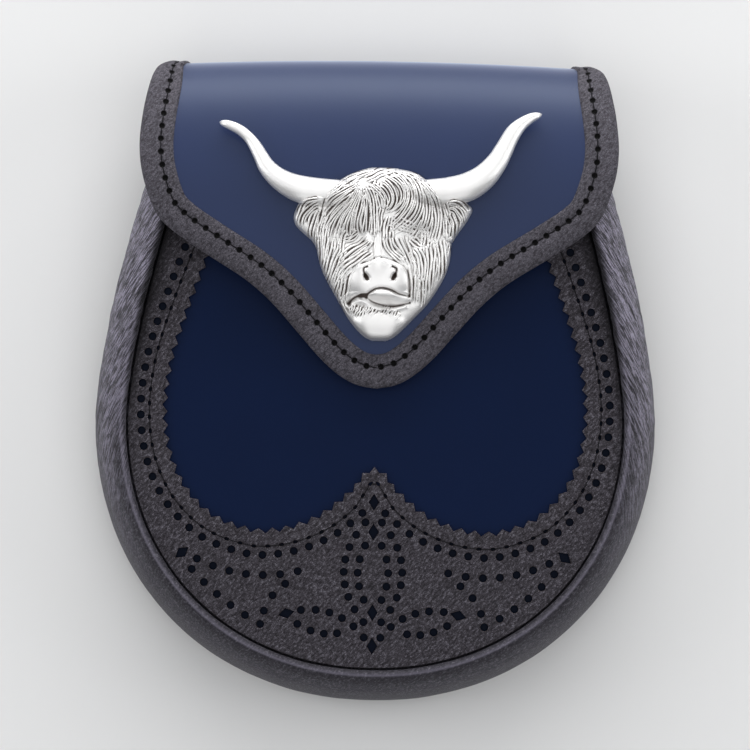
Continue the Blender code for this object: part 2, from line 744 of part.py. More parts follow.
def add_horn(name, rows, cutters):
    """A tapering round horn lying on the flap, as a closed mesh."""
    line = smooth_line([(row.x, row.y) for row in rows])
    radii = smooth_line([(row.x, row.radius) for row in rows])[:, 1]
    along = distances(line)
    wanted = np.linspace(0.0, along[-1], HORN_POINTS)
    curve = bpy.data.curves.new(name, "CURVE")
    curve.dimensions = "3D"
    curve.bevel_depth = 1.0
    curve.bevel_resolution = 2
    curve.use_fill_caps = True
    spline = curve.splines.new("POLY")
    spline.points.add(HORN_POINTS - 1)
    root = flap_surface(rows[0].y)
    for point, place in zip(spline.points, wanted):
        x, y, radius = (np.interp(place, along, column) for column in (*line.T, radii))
        seat = root - HORN_FOLLOW * max(0.0, root - flap_surface(y)) + BADGE_SEAT
        point.co = (x, y, seat + HORN_LIFT + radius, 1.0)
        point.radius = radius
    holder = bpy.data.objects.new(name, curve)
    bpy.context.scene.collection.objects.link(holder)
    bpy.context.view_layer.update()
    evaluated = holder.evaluated_get(bpy.context.evaluated_depsgraph_get())
    mesh = bpy.data.meshes.new_from_object(evaluated)
    bpy.data.objects.remove(holder)
    bpy.data.curves.remove(curve)
    bm = bmesh.new()
    bm.from_mesh(mesh)
    bmesh.ops.remove_doubles(bm, verts=bm.verts, dist=MERGE)
    return add_object(name, mesh_from(bm, name), "pewter", cutters)


def add_ear(name, ear, cutters):
    bm = bmesh.new()
    bmesh.ops.create_uvsphere(bm, u_segments=12, v_segments=8, radius=1.0)
    seat = flap_surface(ear.y) + BADGE_SEAT
    shape = (
        Matrix.Translation((ear.x, ear.y, seat + EAR_LIFT + EAR_RISE / 2))
        @ Matrix.Rotation(math.radians(ear.turn), 4, "Z")
        @ Matrix.Diagonal((ear.half_width, ear.half_height, EAR_RISE / 2, 1.0))
    )
    bmesh.ops.transform(bm, matrix=shape, verts=bm.verts)
    return add_object(name, mesh_from(bm, name), "pewter", cutters)


def add_post(name, x, y, radius, length, group):
    """A round post whose top is sunk in the casting."""
    bm = bmesh.new()
    bmesh.ops.create_cone(
        bm, cap_ends=True, segments=POST_SIDES, radius1=radius, radius2=radius, depth=length,
    )
    top = flap_surface(y) + BADGE_SEAT + HEAD_EDGE / 2
    bmesh.ops.translate(bm, verts=bm.verts, vec=(x, y, top - length / 2))
    return add_object(name, mesh_from(bm, name), "pewter", group)


def add_badge(group, cutters):
    badge = add_object("badge", head_mesh(), "pewter", group)
    pieces = [
        add_horn("horn_left", HORN_LEFT, cutters),
        add_horn("horn_right", HORN_RIGHT, cutters),
    ]
    pieces += [add_ear(f"ear_{number}", ear, cutters) for number, ear in enumerate(EARS)]
    post_length = POST_LENGTH + HEAD_EDGE / 2
    pieces += [
        add_post(f"post_{number}", x, y, POST_RADIUS, post_length, cutters)
        for number, (x, y) in enumerate(POSTS)
    ]
    for piece in pieces:
        piece.hide_render = True
        piece.display_type = "WIRE"
        join = badge.modifiers.new(piece.name, "BOOLEAN")
        join.operation = "UNION"
        join.object = piece
    return badge


def add_press_stud(group):
    x, y = STUD_PLACE
    low = front_surface(x, y) + GAP
    high = flap_surface(y) - FLAP_LEATHER / 2 - GAP
    bm = bmesh.new()
    bmesh.ops.create_cone(
        bm, cap_ends=True, segments=STUD_SIDES, radius1=STUD_RADIUS, radius2=STUD_RADIUS,
        depth=high - low,
    )
    bmesh.ops.translate(bm, verts=bm.verts, vec=(x, y, (low + high) / 2))
    return add_object("press_stud", mesh_from(bm, "press_stud"), "dark_metal", group)


def add_strap_loop(name, x, group):
    """A leather strip across the back, its ends flat on it and its middle standing clear."""
    inner = [
        (LOOP_TOP, -GAP),
        (LOOP_TOP - LOOP_FOOT, -GAP),
        (LOOP_TOP - LOOP_FOOT - LOOP_RAMP, -LOOP_CLEAR),
        (LOOP_BOTTOM + LOOP_FOOT + LOOP_RAMP, -LOOP_CLEAR),
        (LOOP_BOTTOM + LOOP_FOOT, -GAP),
        (LOOP_BOTTOM, -GAP),
    ]
    outer = [
        (y + LOOP_SHIFT * side, z - LOOP_LEATHER)
        for (y, z), side in zip(inner, (0, 1, 1, -1, -1, 0))
    ]
    bm = flat_mesh(name, [inner + outer[::-1]], LOOP_WIDTH)
    stand = Matrix(((0, 0, 1, x), (1, 0, 0, 0), (0, 1, 0, 0), (0, 0, 0, 1)))
    bmesh.ops.transform(bm, matrix=stand, verts=bm.verts)
    return add_object(name, mesh_from(bm, name), "charcoal_leather", group)


def lay_down(parts, cutters):
    """Tips the pouch onto its loops and its lower edge, and centres it on the ground."""
    toe = OUTLINE_RADIUS - OUTLINE_CENTRE - BACK_INSET
    heel = LOOP_BOTTOM + LOOP_FOOT + LOOP_RAMP - LOOP_SHIFT
    tilt = math.atan((LOOP_CLEAR + LOOP_LEATHER) / (toe + heel))
    rest = bpy.data.objects.new("rest", None)
    bpy.context.scene.collection.objects.link(rest)
    rest.rotation_euler.x = tilt
    for piece in [*parts, *cutters.objects]:
        piece.parent = rest
    bpy.context.view_layer.update()
    graph = bpy.context.evaluated_depsgraph_get()
    corners = []
    for part in parts:
        solid = part.evaluated_get(graph)
        corners += [solid.matrix_world @ vert.co for vert in solid.data.vertices]
    points = np.array(corners)
    low, high = points.min(axis=0), points.max(axis=0)
    rest.location = (0.0, -(low[1] + high[1]) / 2, -low[2])


def main():
    for obj in list(bpy.data.objects):
        bpy.data.objects.remove(obj)
    group, cutters = collection("sporran_pouch"), collection("cutters")
    parts = [
        add_back_panel(group),
        add_gusset(group),
        add_front_panel(group),
        add_bib(group),
        add_flap(group, cutters),
        add_flap_binding(group),
        add_badge(group, cutters),
        add_press_stud(group),
        add_strap_loop("strap_loop_left", -LOOP_OFFSET, group),
        add_strap_loop("strap_loop_right", LOOP_OFFSET, group),
    ]
    lay_down(parts, cutters)


main()
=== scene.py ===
"""Day sporran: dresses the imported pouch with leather, stitching, brogue work and a cast badge.

Run as a script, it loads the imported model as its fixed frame, makes every piece with its own operator
and sets up a plain studio. Lengths are in metres. Pieces are drawn in the pouch's own axes, x across,
y up and z out of its front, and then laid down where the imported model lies.
"""

import math
from collections import namedtuple

import bmesh
import bpy
import numpy as np
from bpy.props import FloatProperty, FloatVectorProperty, PointerProperty
from mathutils import Matrix, Vector, noise


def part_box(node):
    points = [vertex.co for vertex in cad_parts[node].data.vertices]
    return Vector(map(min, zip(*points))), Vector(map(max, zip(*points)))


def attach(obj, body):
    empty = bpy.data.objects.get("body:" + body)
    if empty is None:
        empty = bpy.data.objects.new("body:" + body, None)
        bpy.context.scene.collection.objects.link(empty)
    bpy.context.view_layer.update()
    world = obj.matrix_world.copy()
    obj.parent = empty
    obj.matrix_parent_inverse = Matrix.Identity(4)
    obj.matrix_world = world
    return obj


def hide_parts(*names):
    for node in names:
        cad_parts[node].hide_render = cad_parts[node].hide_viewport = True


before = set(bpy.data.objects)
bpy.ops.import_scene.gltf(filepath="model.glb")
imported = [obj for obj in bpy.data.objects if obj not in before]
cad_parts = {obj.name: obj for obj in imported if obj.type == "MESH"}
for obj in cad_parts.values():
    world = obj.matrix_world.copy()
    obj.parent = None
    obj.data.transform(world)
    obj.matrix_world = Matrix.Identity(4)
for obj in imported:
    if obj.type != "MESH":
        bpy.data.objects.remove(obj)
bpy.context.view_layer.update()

bl_info = {
    "name": "Day sporran",
    "version": (1, 0, 0),
    "blender": (4, 5, 0),
    "location": "3D View > Sidebar > Sporran",
    "description": "Dresses a packed day sporran with its leather, stitching and badge",
    "category": "Add Mesh",
}


def table(kind, columns, *rows):
    """Rows of values whose columns have names."""
    row_type = namedtuple(kind, columns)
    return tuple(row_type(*row) for row in rows)


GAP = 0.0003
MILLIMETRES = 1000  # in a metre
TINY = 1e-12
MERGE_REACH = 0.000005  # corners closer than this are one

# Outline of the pouch: a squarish circle below, shoulders that narrow above
OUTLINE_CENTRE = -0.0129
OUTLINE_RADIUS = 0.0886
OUTLINE_POWER = 2.1
OUTLINE_STEPS = 240
PLATE_STATIONS = 240  # along the edge of the back and the bib
LINE_STATIONS = 400  # along the edge of the front, and the back's row of stitches
SHOULDER_RISE = 0.0643
SHOULDER_NARROWING = 0.0120
SHOULDER_POWER = 1.5
SHOULDER_STEPS = 179
GUSSET_TOP = 0.0840
BACK_LEATHER = 0.0025
BACK_TOP = 0.0860
BACK_INSET = 0.0003
BACK_CORNER = 0.0120
BACK_EDGE = 0.0004
BACK_STITCH_INSET = 0.0045  # from the edge of the back
BACK_STITCH_TOP = 0.0800
BACK_TRIM = 0.12

# Front: the seam stands proud of the bib, most of all under the flap
SEAM_HEIGHT = 0.0340
SEAM_FALL_TOP = 0.0050
SEAM_FALL_START = 0.0300
RECESS_LOW = 0.0014
RECESS_HIGH = 0.0040
RECESS_FROM = -0.0600
RECESS_TO = 0.0600
FRONT_CROWN = 0.0016
CROWN_CENTRE = -0.0120
CROWN_RADIUS = 0.0780
FRONT_INSET = 0.01065
FRONT_TOP = 0.0700
FRONT_LEATHER = 0.0020
FRONT_SHINE = 0.08
FRONT_GLOW = 0.02
FRONT_ROWS = 120
FRONT_COLUMNS = 120
FRONT_BUNCHING = 1.5  # rows lie closer together at the bottom
UNDER_BIB_SHADE = (-0.0004, 0.0010)  # distances outside the bib's opening, where shade is painted on the front under the bib
BIB_LEATHER = 0.0012
FLANGE_DROP = BIB_LEATHER + FRONT_LEATHER + 2 * GAP
GUSSET_LEATHER = 0.0015

# One row for each point of the gusset's middle line, from the back round the bulge to the front
# flange: inset from the outline, share of the seam's height, what is added, and share of the recess
GUSSET_SECTION = table(
    "SectionRow", "inset share lift sunk",
    (0.0090, 0.00, BACK_LEATHER + GAP + GUSSET_LEATHER / 2, 0),
    (0.0022, 0.00, BACK_LEATHER + GAP + GUSSET_LEATHER / 2, 0),
    (0.0011, 0.00, 0.0047, 0),
    (0.00075, 0.26, 0.0, 0),
    (0.0014, 0.50, 0.0, 0),
    (0.0030, 0.71, 0.0, 0),
    (0.0048, 0.84, 0.0, 0),
    (0.0066, 0.93, 0.0, 0),
    (0.0082, 1.00, -GUSSET_LEATHER / 2, 0),
    (0.0092, 1.00, -0.0014, 0),
    (0.0096, 1.00, -FLANGE_DROP - GUSSET_LEATHER / 2, 1),
    (0.0150, 1.00, -FLANGE_DROP - GUSSET_LEATHER / 2, 1),
)
GUSSET_STATIONS = 560
GUSSET_ROWS = 84
SECTION_STEPS = 24  # between two points of the section

# Shade painted on the gusset and the bib beside the seam and on the lower half, and highlight
# painted on the ridge: insets, and shares from 0 to 1
CREASE_FROM = 0.0089  # inset where the crease inside the seam starts
CREASE_SPREAD = 0.0015  # how much earlier it starts under the flap
CREASE_MIDDLE = 0.0097  # and is darkest
CREASE_HEIGHTS = (-0.0400, 0.0300)  # between which it grows
CREASE_FALL = 0.0006  # from its middle to where it starts to fade
CREASE_FADE = 0.0014  # and to where it has faded, which is farther under the flap
CREASE_FADE_GROWTH = 0.0036
CREASE_SHADE = 0.35
CREASE_SHADE_GROWTH = 0.60
LOW_HEIGHTS = (-0.03, 0.05)  # where the shade of the lower half fades out
SIDE_HEIGHTS = (0.25, 0.95)  # shares of the seam's height where the side's shade fades out
SIDE_SHADE = 0.72
BAND_RISE = (0.0046, 0.0064)  # insets where the band of painted shade outside the ridge starts and ends
BAND_FALL = (0.0077, 0.0084)
BAND_SHADE = 0.34
RIDGE_INSET = 0.0085  # where a highlight is painted along the seam's ridge, and how widely
RIDGE_WIDTH = 0.00032
RIDGE_HIGHLIGHT = 0.30
RIDGE_HIGHLIGHT_LOW = 0.42  # what is added in the lower half

# Wrinkles of the gusset, which slant on the upper sides and fade out below: drawn strokes in its
# relief with painted highlight and shade in its colour, and folds in its shape over a softness that it
# has everywhere
WRINKLE_RUN = 0.53
WRINKLE_RISE = 0.848
STROKE_STRETCH = 0.30  # a stroke's width as a share of its length
STROKE_SIZE = 0.00078
STROKE_BROAD = 0.0021
STROKE_SIDES = (0.078, 0.152)  # distances from the middle of the bottom where they grow
FOLD_STRETCH = 0.34
FOLD_SIZES = (0.0026, 0.0050)
FOLD_SEEDS = (3.1, 7.7)
FOLD_BROAD = 0.6  # share of the broad ones among them
FOLD_SIDES = (0.092, 0.158)
FOLD_ACROSS = (0.006, 0.016)  # distances from the back where the folds grow
FOLD_DEPTH = 0.00026
SOFT_SIZES = (0.012, 0.006)
SOFT_SEEDS = (1.3, 5.3)
SOFT_SMALL = 0.5
SOFT_DEPTH = 0.00010

# Grain of each leather: size of its pebbles, and their height in millimetres
Grain = namedtuple("Grain", "size height")
GUSSET_GRAIN = Grain(0.00085, 0.050)
BIB_GRAIN = Grain(0.00070, 0.075)
BINDING_GRAIN = Grain(0.00080, 0.060)
BACK_GRAIN = Grain(0.00080, 0.040)
LOOP_GRAIN = Grain(0.00070, 0.040)
SPECKLE_SIZE = 0.00110
SPECKLE_RUN = 0.62  # how far a speckle is drawn out along its slant, and narrowed across it
SPECKLE_RISE = 1.15
UPRIGHT_SIZE = 0.0010  # faint creases across the bottom of the gusset
UPRIGHT_STRETCH = 0.12
GUSSET_MOTTLE = 0.014
LEATHER_MOTTLE = 0.009
FIBRE_SIZE = 0.0003
RAW_EDGE = (0.085, 0.055, 0.040)
# Painted shade inside the needle holes
HOLE_SHADE = (0.0003, 0.0003, 0.0005)

# Patterns of the other finishes
PORE_SIZE = 0.00045
HIDE_FINE = 0.0006
HIDE_CLOUD = 0.035
HIDE_STREAK = 0.0016
GRIT_SIZE = 0.0004
CASTING_CLOUD = 0.004
TWIST_SIZE = 0.00025
BRUSHED_SIZE = 0.0006
PAPER_FIBRE = 0.002
THREAD_COLOURS = ((0.003, 0.003, 0.004), (0.014, 0.013, 0.016))
STEEL_COLOURS = ((0.14, 0.14, 0.15), (0.26, 0.26, 0.27))

# Threads, as shares of their radius: how flat they are, how high they lie and how deep they are
# sunk; the bib's and the binding's are thinner
THREAD_FLATNESS = 0.85
THREAD_RISE = 0.5
THREAD_SINK = 0.6
FINE_SINK = 0.3
BIB_THREAD = 0.8
BINDING_THREAD = 0.7

# A row of needle holes: its stitches' pitch, its place across the leather, and the reach of the shade
# painted in its holes
Seam = namedtuple("Seam", "pitch line reach")
# How far the painted shade in the seam's groove reaches
GROOVE_SHADE_REACH = (0.0001, 0.0004)

# Bib: the line of border holes is its guide, and the pinked edge follows it
BORDER_LINE = table(
    "Guide", "x y",
    (0.0500, 0.0680),
    (0.0607, 0.0411),
    (0.0689, 0.0181),
    (0.0726, 0.0037),
    (0.0739, -0.0111),
    (0.0718, -0.0260),
    (0.0654, -0.0395),
    (0.0545, -0.0499),
    (0.0404, -0.0551),
    (0.0302, -0.0552),
    (0.0204, -0.0528),
    (0.0113, -0.0483),
    (0.0034, -0.0418),
    (0.0000, -0.0385),
)
BORDER_STEPS = 24  # between two of its points
BORDER_HOLES = 34
STITCH_PEAK = -0.0309  # height of the stitch line in the middle
STITCH_SHOULDER = 0.0060  # half width from which it follows the border
BIB_INSET = FRONT_INSET + 0.0001
BIB_TOP = 0.0660
TOOTH_TIP = 0.0084
TOOTH_ROOT = 0.0067
PEAK_TIP = -0.0274
PEAK_ROOT = -0.0282
PEAK_SHOULDERS = ((0.0044, -0.0296), (0.0036, -0.0309))  # of its tips and of its roots
STITCH_LINE = 0.0027
HOLE_SIDES = 22
HOLE_MARGIN = 0.003  # how far the holes stay below the bib's top
NEEDLE_MARGIN = 0.002
DIAMOND_WIDTH = 0.0034
DIAMOND_HEIGHT = 0.0054
SHADE_STATIONS = 900  # points that the crease is measured from
SHADE_BATCH = 30
BIB_SLICE = 0.0045
SLICE_SHIFT = 0.37  # share of a slice by which the cuts miss the middle
CUT_REACH = 0.0000005
NEEDLE_TRIM = 0.10  # share of a stitch that dips into each needle hole
NEEDLE_LENGTH = 0.0019
NEEDLE_WIDTH = 0.0011
NEEDLE_SIDES = 8

# Each run of punched holes is a curve through three points; `skip` is a hole that another run has
HOLE_RUNS = table(
    "HoleRun", "name holes start middle end skip",
    ("side_upper", 7, (0.0555, -0.0571), (0.0400, -0.0617), (0.0237, -0.0606), None),
    ("side_lower", 6, (0.0571, -0.0604), (0.0469, -0.0699), (0.0353, -0.0774), None),
    ("side_cross", 3, (0.0276, -0.0646), (0.0315, -0.0683), (0.0342, -0.0732), None),
    ("low_upper", 6, (0.0225, -0.0728), (0.0115, -0.0742), (0.0026, -0.0812), None),
    ("low_lower", 6, (0.0236, -0.0772), (0.0131, -0.0802), (0.0028, -0.0763), 4),
    ("braid_outer", 9, (0.0026, -0.0449), (0.0092, -0.0606), (0.0028, -0.0763), 8),
    ("braid_inner", 5, (0.0026, -0.0522), (0.0048, -0.0608), (0.0028, -0.0693), None),
)
DIAMONDS = table(
    "Diamond", "x y turn",
    (0.0, -0.0385, 0),
    (0.0, -0.0479, 0),
    (0.0, -0.0733, 0),
    (0.0, -0.0839, 0),
    (0.0603, -0.0552, 50),
    (0.0271, -0.0739, 75),
)

# Flap: its middle line in side view is a quarter ellipse in front of the crest and another behind
FLAP_LEATHER = 0.0020
CREST_HEIGHT = 0.0999
CREST_DEPTH = 0.0120
FOLD_FRONT_REACH = 0.0425
FOLD_FRONT_RISE = 0.0246
FOLD_BACK_REACH = 0.0125
FLAP_BACK_DEPTH = -GAP - FLAP_LEATHER / 2
FLAP_BACK_END = 0.0740
TONGUE_END = -0.0045
TONGUE_SINK = 0.0016
TONGUE_RUN = 0.0600
CREST_SAG = 0.0020
CREST_SAG_WIDTH = 0.0700
FOLD_BACK_STEPS = 47
FOLD_FRONT_STEPS = 119
TONGUE_STEPS = 59

# Outer edge of the binding: its half width by height in front, and by length behind the crest
FLAP_EDGE_FRONT = table(
    "EdgeGuide", "half_width height",
    (0.0708, 0.0992),
    (0.0729, 0.0930),
    (0.0748, 0.0825),
    (0.0755, 0.0725),
    (0.0742, 0.0628),
    (0.0703, 0.0522),
    (0.0647, 0.0461),
    (0.0545, 0.0392),
    (0.0418, 0.0312),
    (0.0334, 0.0241),
    (0.0250, 0.0148),
    (0.0178, 0.0067),
    (0.0119, 0.0015),
    (0.0062, -0.0016),
    (0.0000, -0.0028),
)
FLAP_EDGE_BACK = table(
    "BackGuide", "half_width along",
    (0.0650, -0.0330),
    (0.0664, -0.0220),
    (0.0679, -0.0110),
    (0.0693, 0.0),
)
EDGE_STEPS = 40
EDGE_STATIONS = 1600
FLAP_INSET = 0.0018
FLAP_SHINE = 0.52
FLAP_GLOW = 1.0
FLAP_ROWS = 150
FLAP_COLUMNS = 90
LEAST_WIDTH = 0.00005  # half width of the flap at its tongue's very end
BINDING_START = -0.0170  # behind the crest, along the leather
BINDING_STATIONS = 1200

# The binding's outer face, outward from the flap's edge and up from the flap's middle
BINDING_FACE = table(
    "BindingRow", "out lift",
    (-0.0089, 0.0012),
    (-0.0088, 0.0015),
    (-0.0084, 0.00175),
    (-0.0076, 0.00185),
    (-0.0066, 0.0018),
    (-0.0055, 0.0017),
    (-0.0044, 0.0019),
    (-0.0028, 0.0021),
    (-0.0012, 0.0020),
    (0.0002, 0.0016),
    (0.0013, 0.0009),
    (0.0018, 0.0),
    (0.0014, -0.0011),
    (0.0004, -0.0019),
    (-0.0012, -0.0023),
    (-0.0040, -0.0023),
    (-0.0066, -0.0023),
    (-0.0072, -0.0020),
    (-0.0073, -0.0014),
)
CREST_NARROWING = 0.26  # share of its width that the binding loses on the crest
CREST_REACH = 0.0110
BINDING_LEATHER = 0.0006
BINDING_ROWS = 28
BINDING_STEPS = 16  # between two points of the section
BINDING_SOFTENING = 6
BINDING_WAVE = 0.00007  # height and size of its softness
BINDING_WAVE_SIZE = 0.0045
BINDING_SEED = 2.2
BINDING_STITCH = -0.0049
BINDING_TRIM = 0.12  # share of a stitch left free at each needle hole
SEAM_ROWS = 10  # more rows where the needle holes are
SEAM_REACH = 0.0012
SEAM_CLEAR = 1.2  # distance to the other rows, in reaches
NEEDLE_DEPTH = 0.00034
NEEDLE_REACH = 0.00080
NEEDLE_STRETCH = 0.85  # a needle hole's width as a share of its length
NEEDLE_SHADE_REACH = 0.00115
GROOVE_DEPTH = 0.00018
GROOVE_REACH = 0.00050

# Badge: rows of the head from the crown to the chin, with its left and right edges
HEAD_ROWS = table(
    "HeadRow", "y left right",
    (0.0668, -0.0022, 0.0041),
    (0.0656, -0.0066, 0.0108),
    (0.0637, -0.0107, 0.0142),
    (0.0600, -0.0153, 0.0181),
    (0.0536, -0.0187, 0.0210),
    (0.0441, -0.0195, 0.0230),
    (0.0347, -0.0176, 0.0219),
    (0.0252, -0.0126, 0.0167),
    (0.0183, -0.0084, 0.0105),
    (0.0139, -0.0044, 0.0060),
    (0.0123, -0.0014, 0.0030),
)
HEAD_STEPS = 16  # between two rows
HEAD_EDGE = 0.0018
HEAD_DOME = 0.0036
HEAD_ROUNDING = 0.0009

# Raised and sunk features of the face: centre, half width, half height, and height added
FEATURE_COLUMNS = "name x y half_width half_height rise"
FEATURES = table(
    "Feature", FEATURE_COLUMNS,
    ("muzzle", 0.0006, 0.0318, 0.0100, 0.0078, 0.0026),
    ("mouth", 0.0008, 0.0246, 0.0098, 0.0020, -0.0016),
    ("chin", 0.0011, 0.0160, 0.0080, 0.0062, 0.0011),
    ("forelock", 0.0025, 0.0580, 0.0110, 0.0080, 0.0009),
    ("brow_left", -0.0110, 0.0520, 0.0055, 0.0045, 0.0010),
    ("brow_right", 0.0135, 0.0525, 0.0060, 0.0050, 0.0012),
    ("eye_left", -0.0080, 0.0445, 0.0042, 0.0030, -0.0011),
    ("eye_right", 0.0128, 0.0455, 0.0042, 0.0032, -0.0013),
    ("nose_bridge", 0.0002, 0.0430, 0.0032, 0.0085, 0.0011),
    ("cheek_left", -0.0125, 0.0340, 0.0038, 0.0080, 0.0006),
    ("cheek_right", 0.0150, 0.0350, 0.0042, 0.0090, 0.0007),
)

# What is bare of hair: the same columns, with the share of the hair that is left out
BARE = table(
    "Feature", FEATURE_COLUMNS,
    ("muzzle", 0.0005, 0.0318, 0.0096, 0.0066, 1.0),
    ("lips", 0.0008, 0.0260, 0.0094, 0.0034, 1.0),
    ("chin", 0.0010, 0.0170, 0.0085, 0.0042, 0.9),
    ("nose_bridge", 0.0000, 0.0410, 0.0012, 0.0048, 1.0),
)

# Lines drawn into the casting, each a smooth curve in millimetres with its half width and its rise
MARKS = table(
    "Mark", "name half_width rise points",
    ("muzzle_line", 0.50, -0.50, (
        (-9.6, 27.6), (-9.5, 31.4), (-8.3, 33.9), (-6.1, 36.2), (-3.0, 37.2), (-0.2, 38.5),
        (2.3, 38.3), (5.8, 37.3), (8.4, 35.7), (9.7, 32.9), (10.1, 27.0))),
    ("nostril_left", 0.85, -1.3, ((-3.2, 31.8), (-3.4, 32.2), (-3.7, 32.6))),
    ("nostril_left_hook", 0.45, -0.8, ((-3.6, 32.4), (-4.3, 34.2), (-4.2, 35.1), (-3.3, 35.6))),
    ("nostril_right", 0.80, -1.3, ((4.9, 31.9), (5.1, 32.3), (5.4, 32.8))),
    ("nostril_right_hook", 0.50, -0.9, ((5.4, 32.8), (5.9, 34.2), (5.9, 35.1), (4.8, 35.7))),
    ("mouth_line", 0.62, -1.0, (
        (-8.9, 23.9), (-7.3, 25.6), (-5.1, 26.6), (-3.2, 26.9), (-2.2, 27.6), (-0.5, 28.6),
        (1.8, 28.9), (4.4, 28.3), (6.9, 27.1), (10.0, 26.4))),
    ("mouth_corner", 0.80, -0.9, ((-5.0, 26.2), (-3.6, 26.2))),
    ("under_tongue", 0.52, -0.60, (
        (-3.2, 25.8), (-1.6, 24.6), (0.6, 23.8), (3.5, 23.2), (6.8, 23.4), (10.3, 24.4))),
    ("tongue", 1.90, 1.0, ((0.2, 26.6), (3.2, 25.9), (6.4, 25.3), (9.0, 25.2))),
    ("lower_lip", 0.75, 0.7, (
        (-7.4, 24.2), (-5.2, 24.7), (-3.4, 24.0), (-1.0, 22.9), (2.2, 22.2), (5.6, 22.3), (8.8, 23.2))),
    ("ear_seam_left", 0.40, -0.45, ((-16.9, 57.0), (-17.6, 54.0), (-18.4, 50.0), (-18.4, 45.6))),
    ("ear_seam_right", 0.40, -0.45, ((20.4, 57.0), (21.4, 54.0), (22.5, 49.5), (22.9, 45.8))),
)

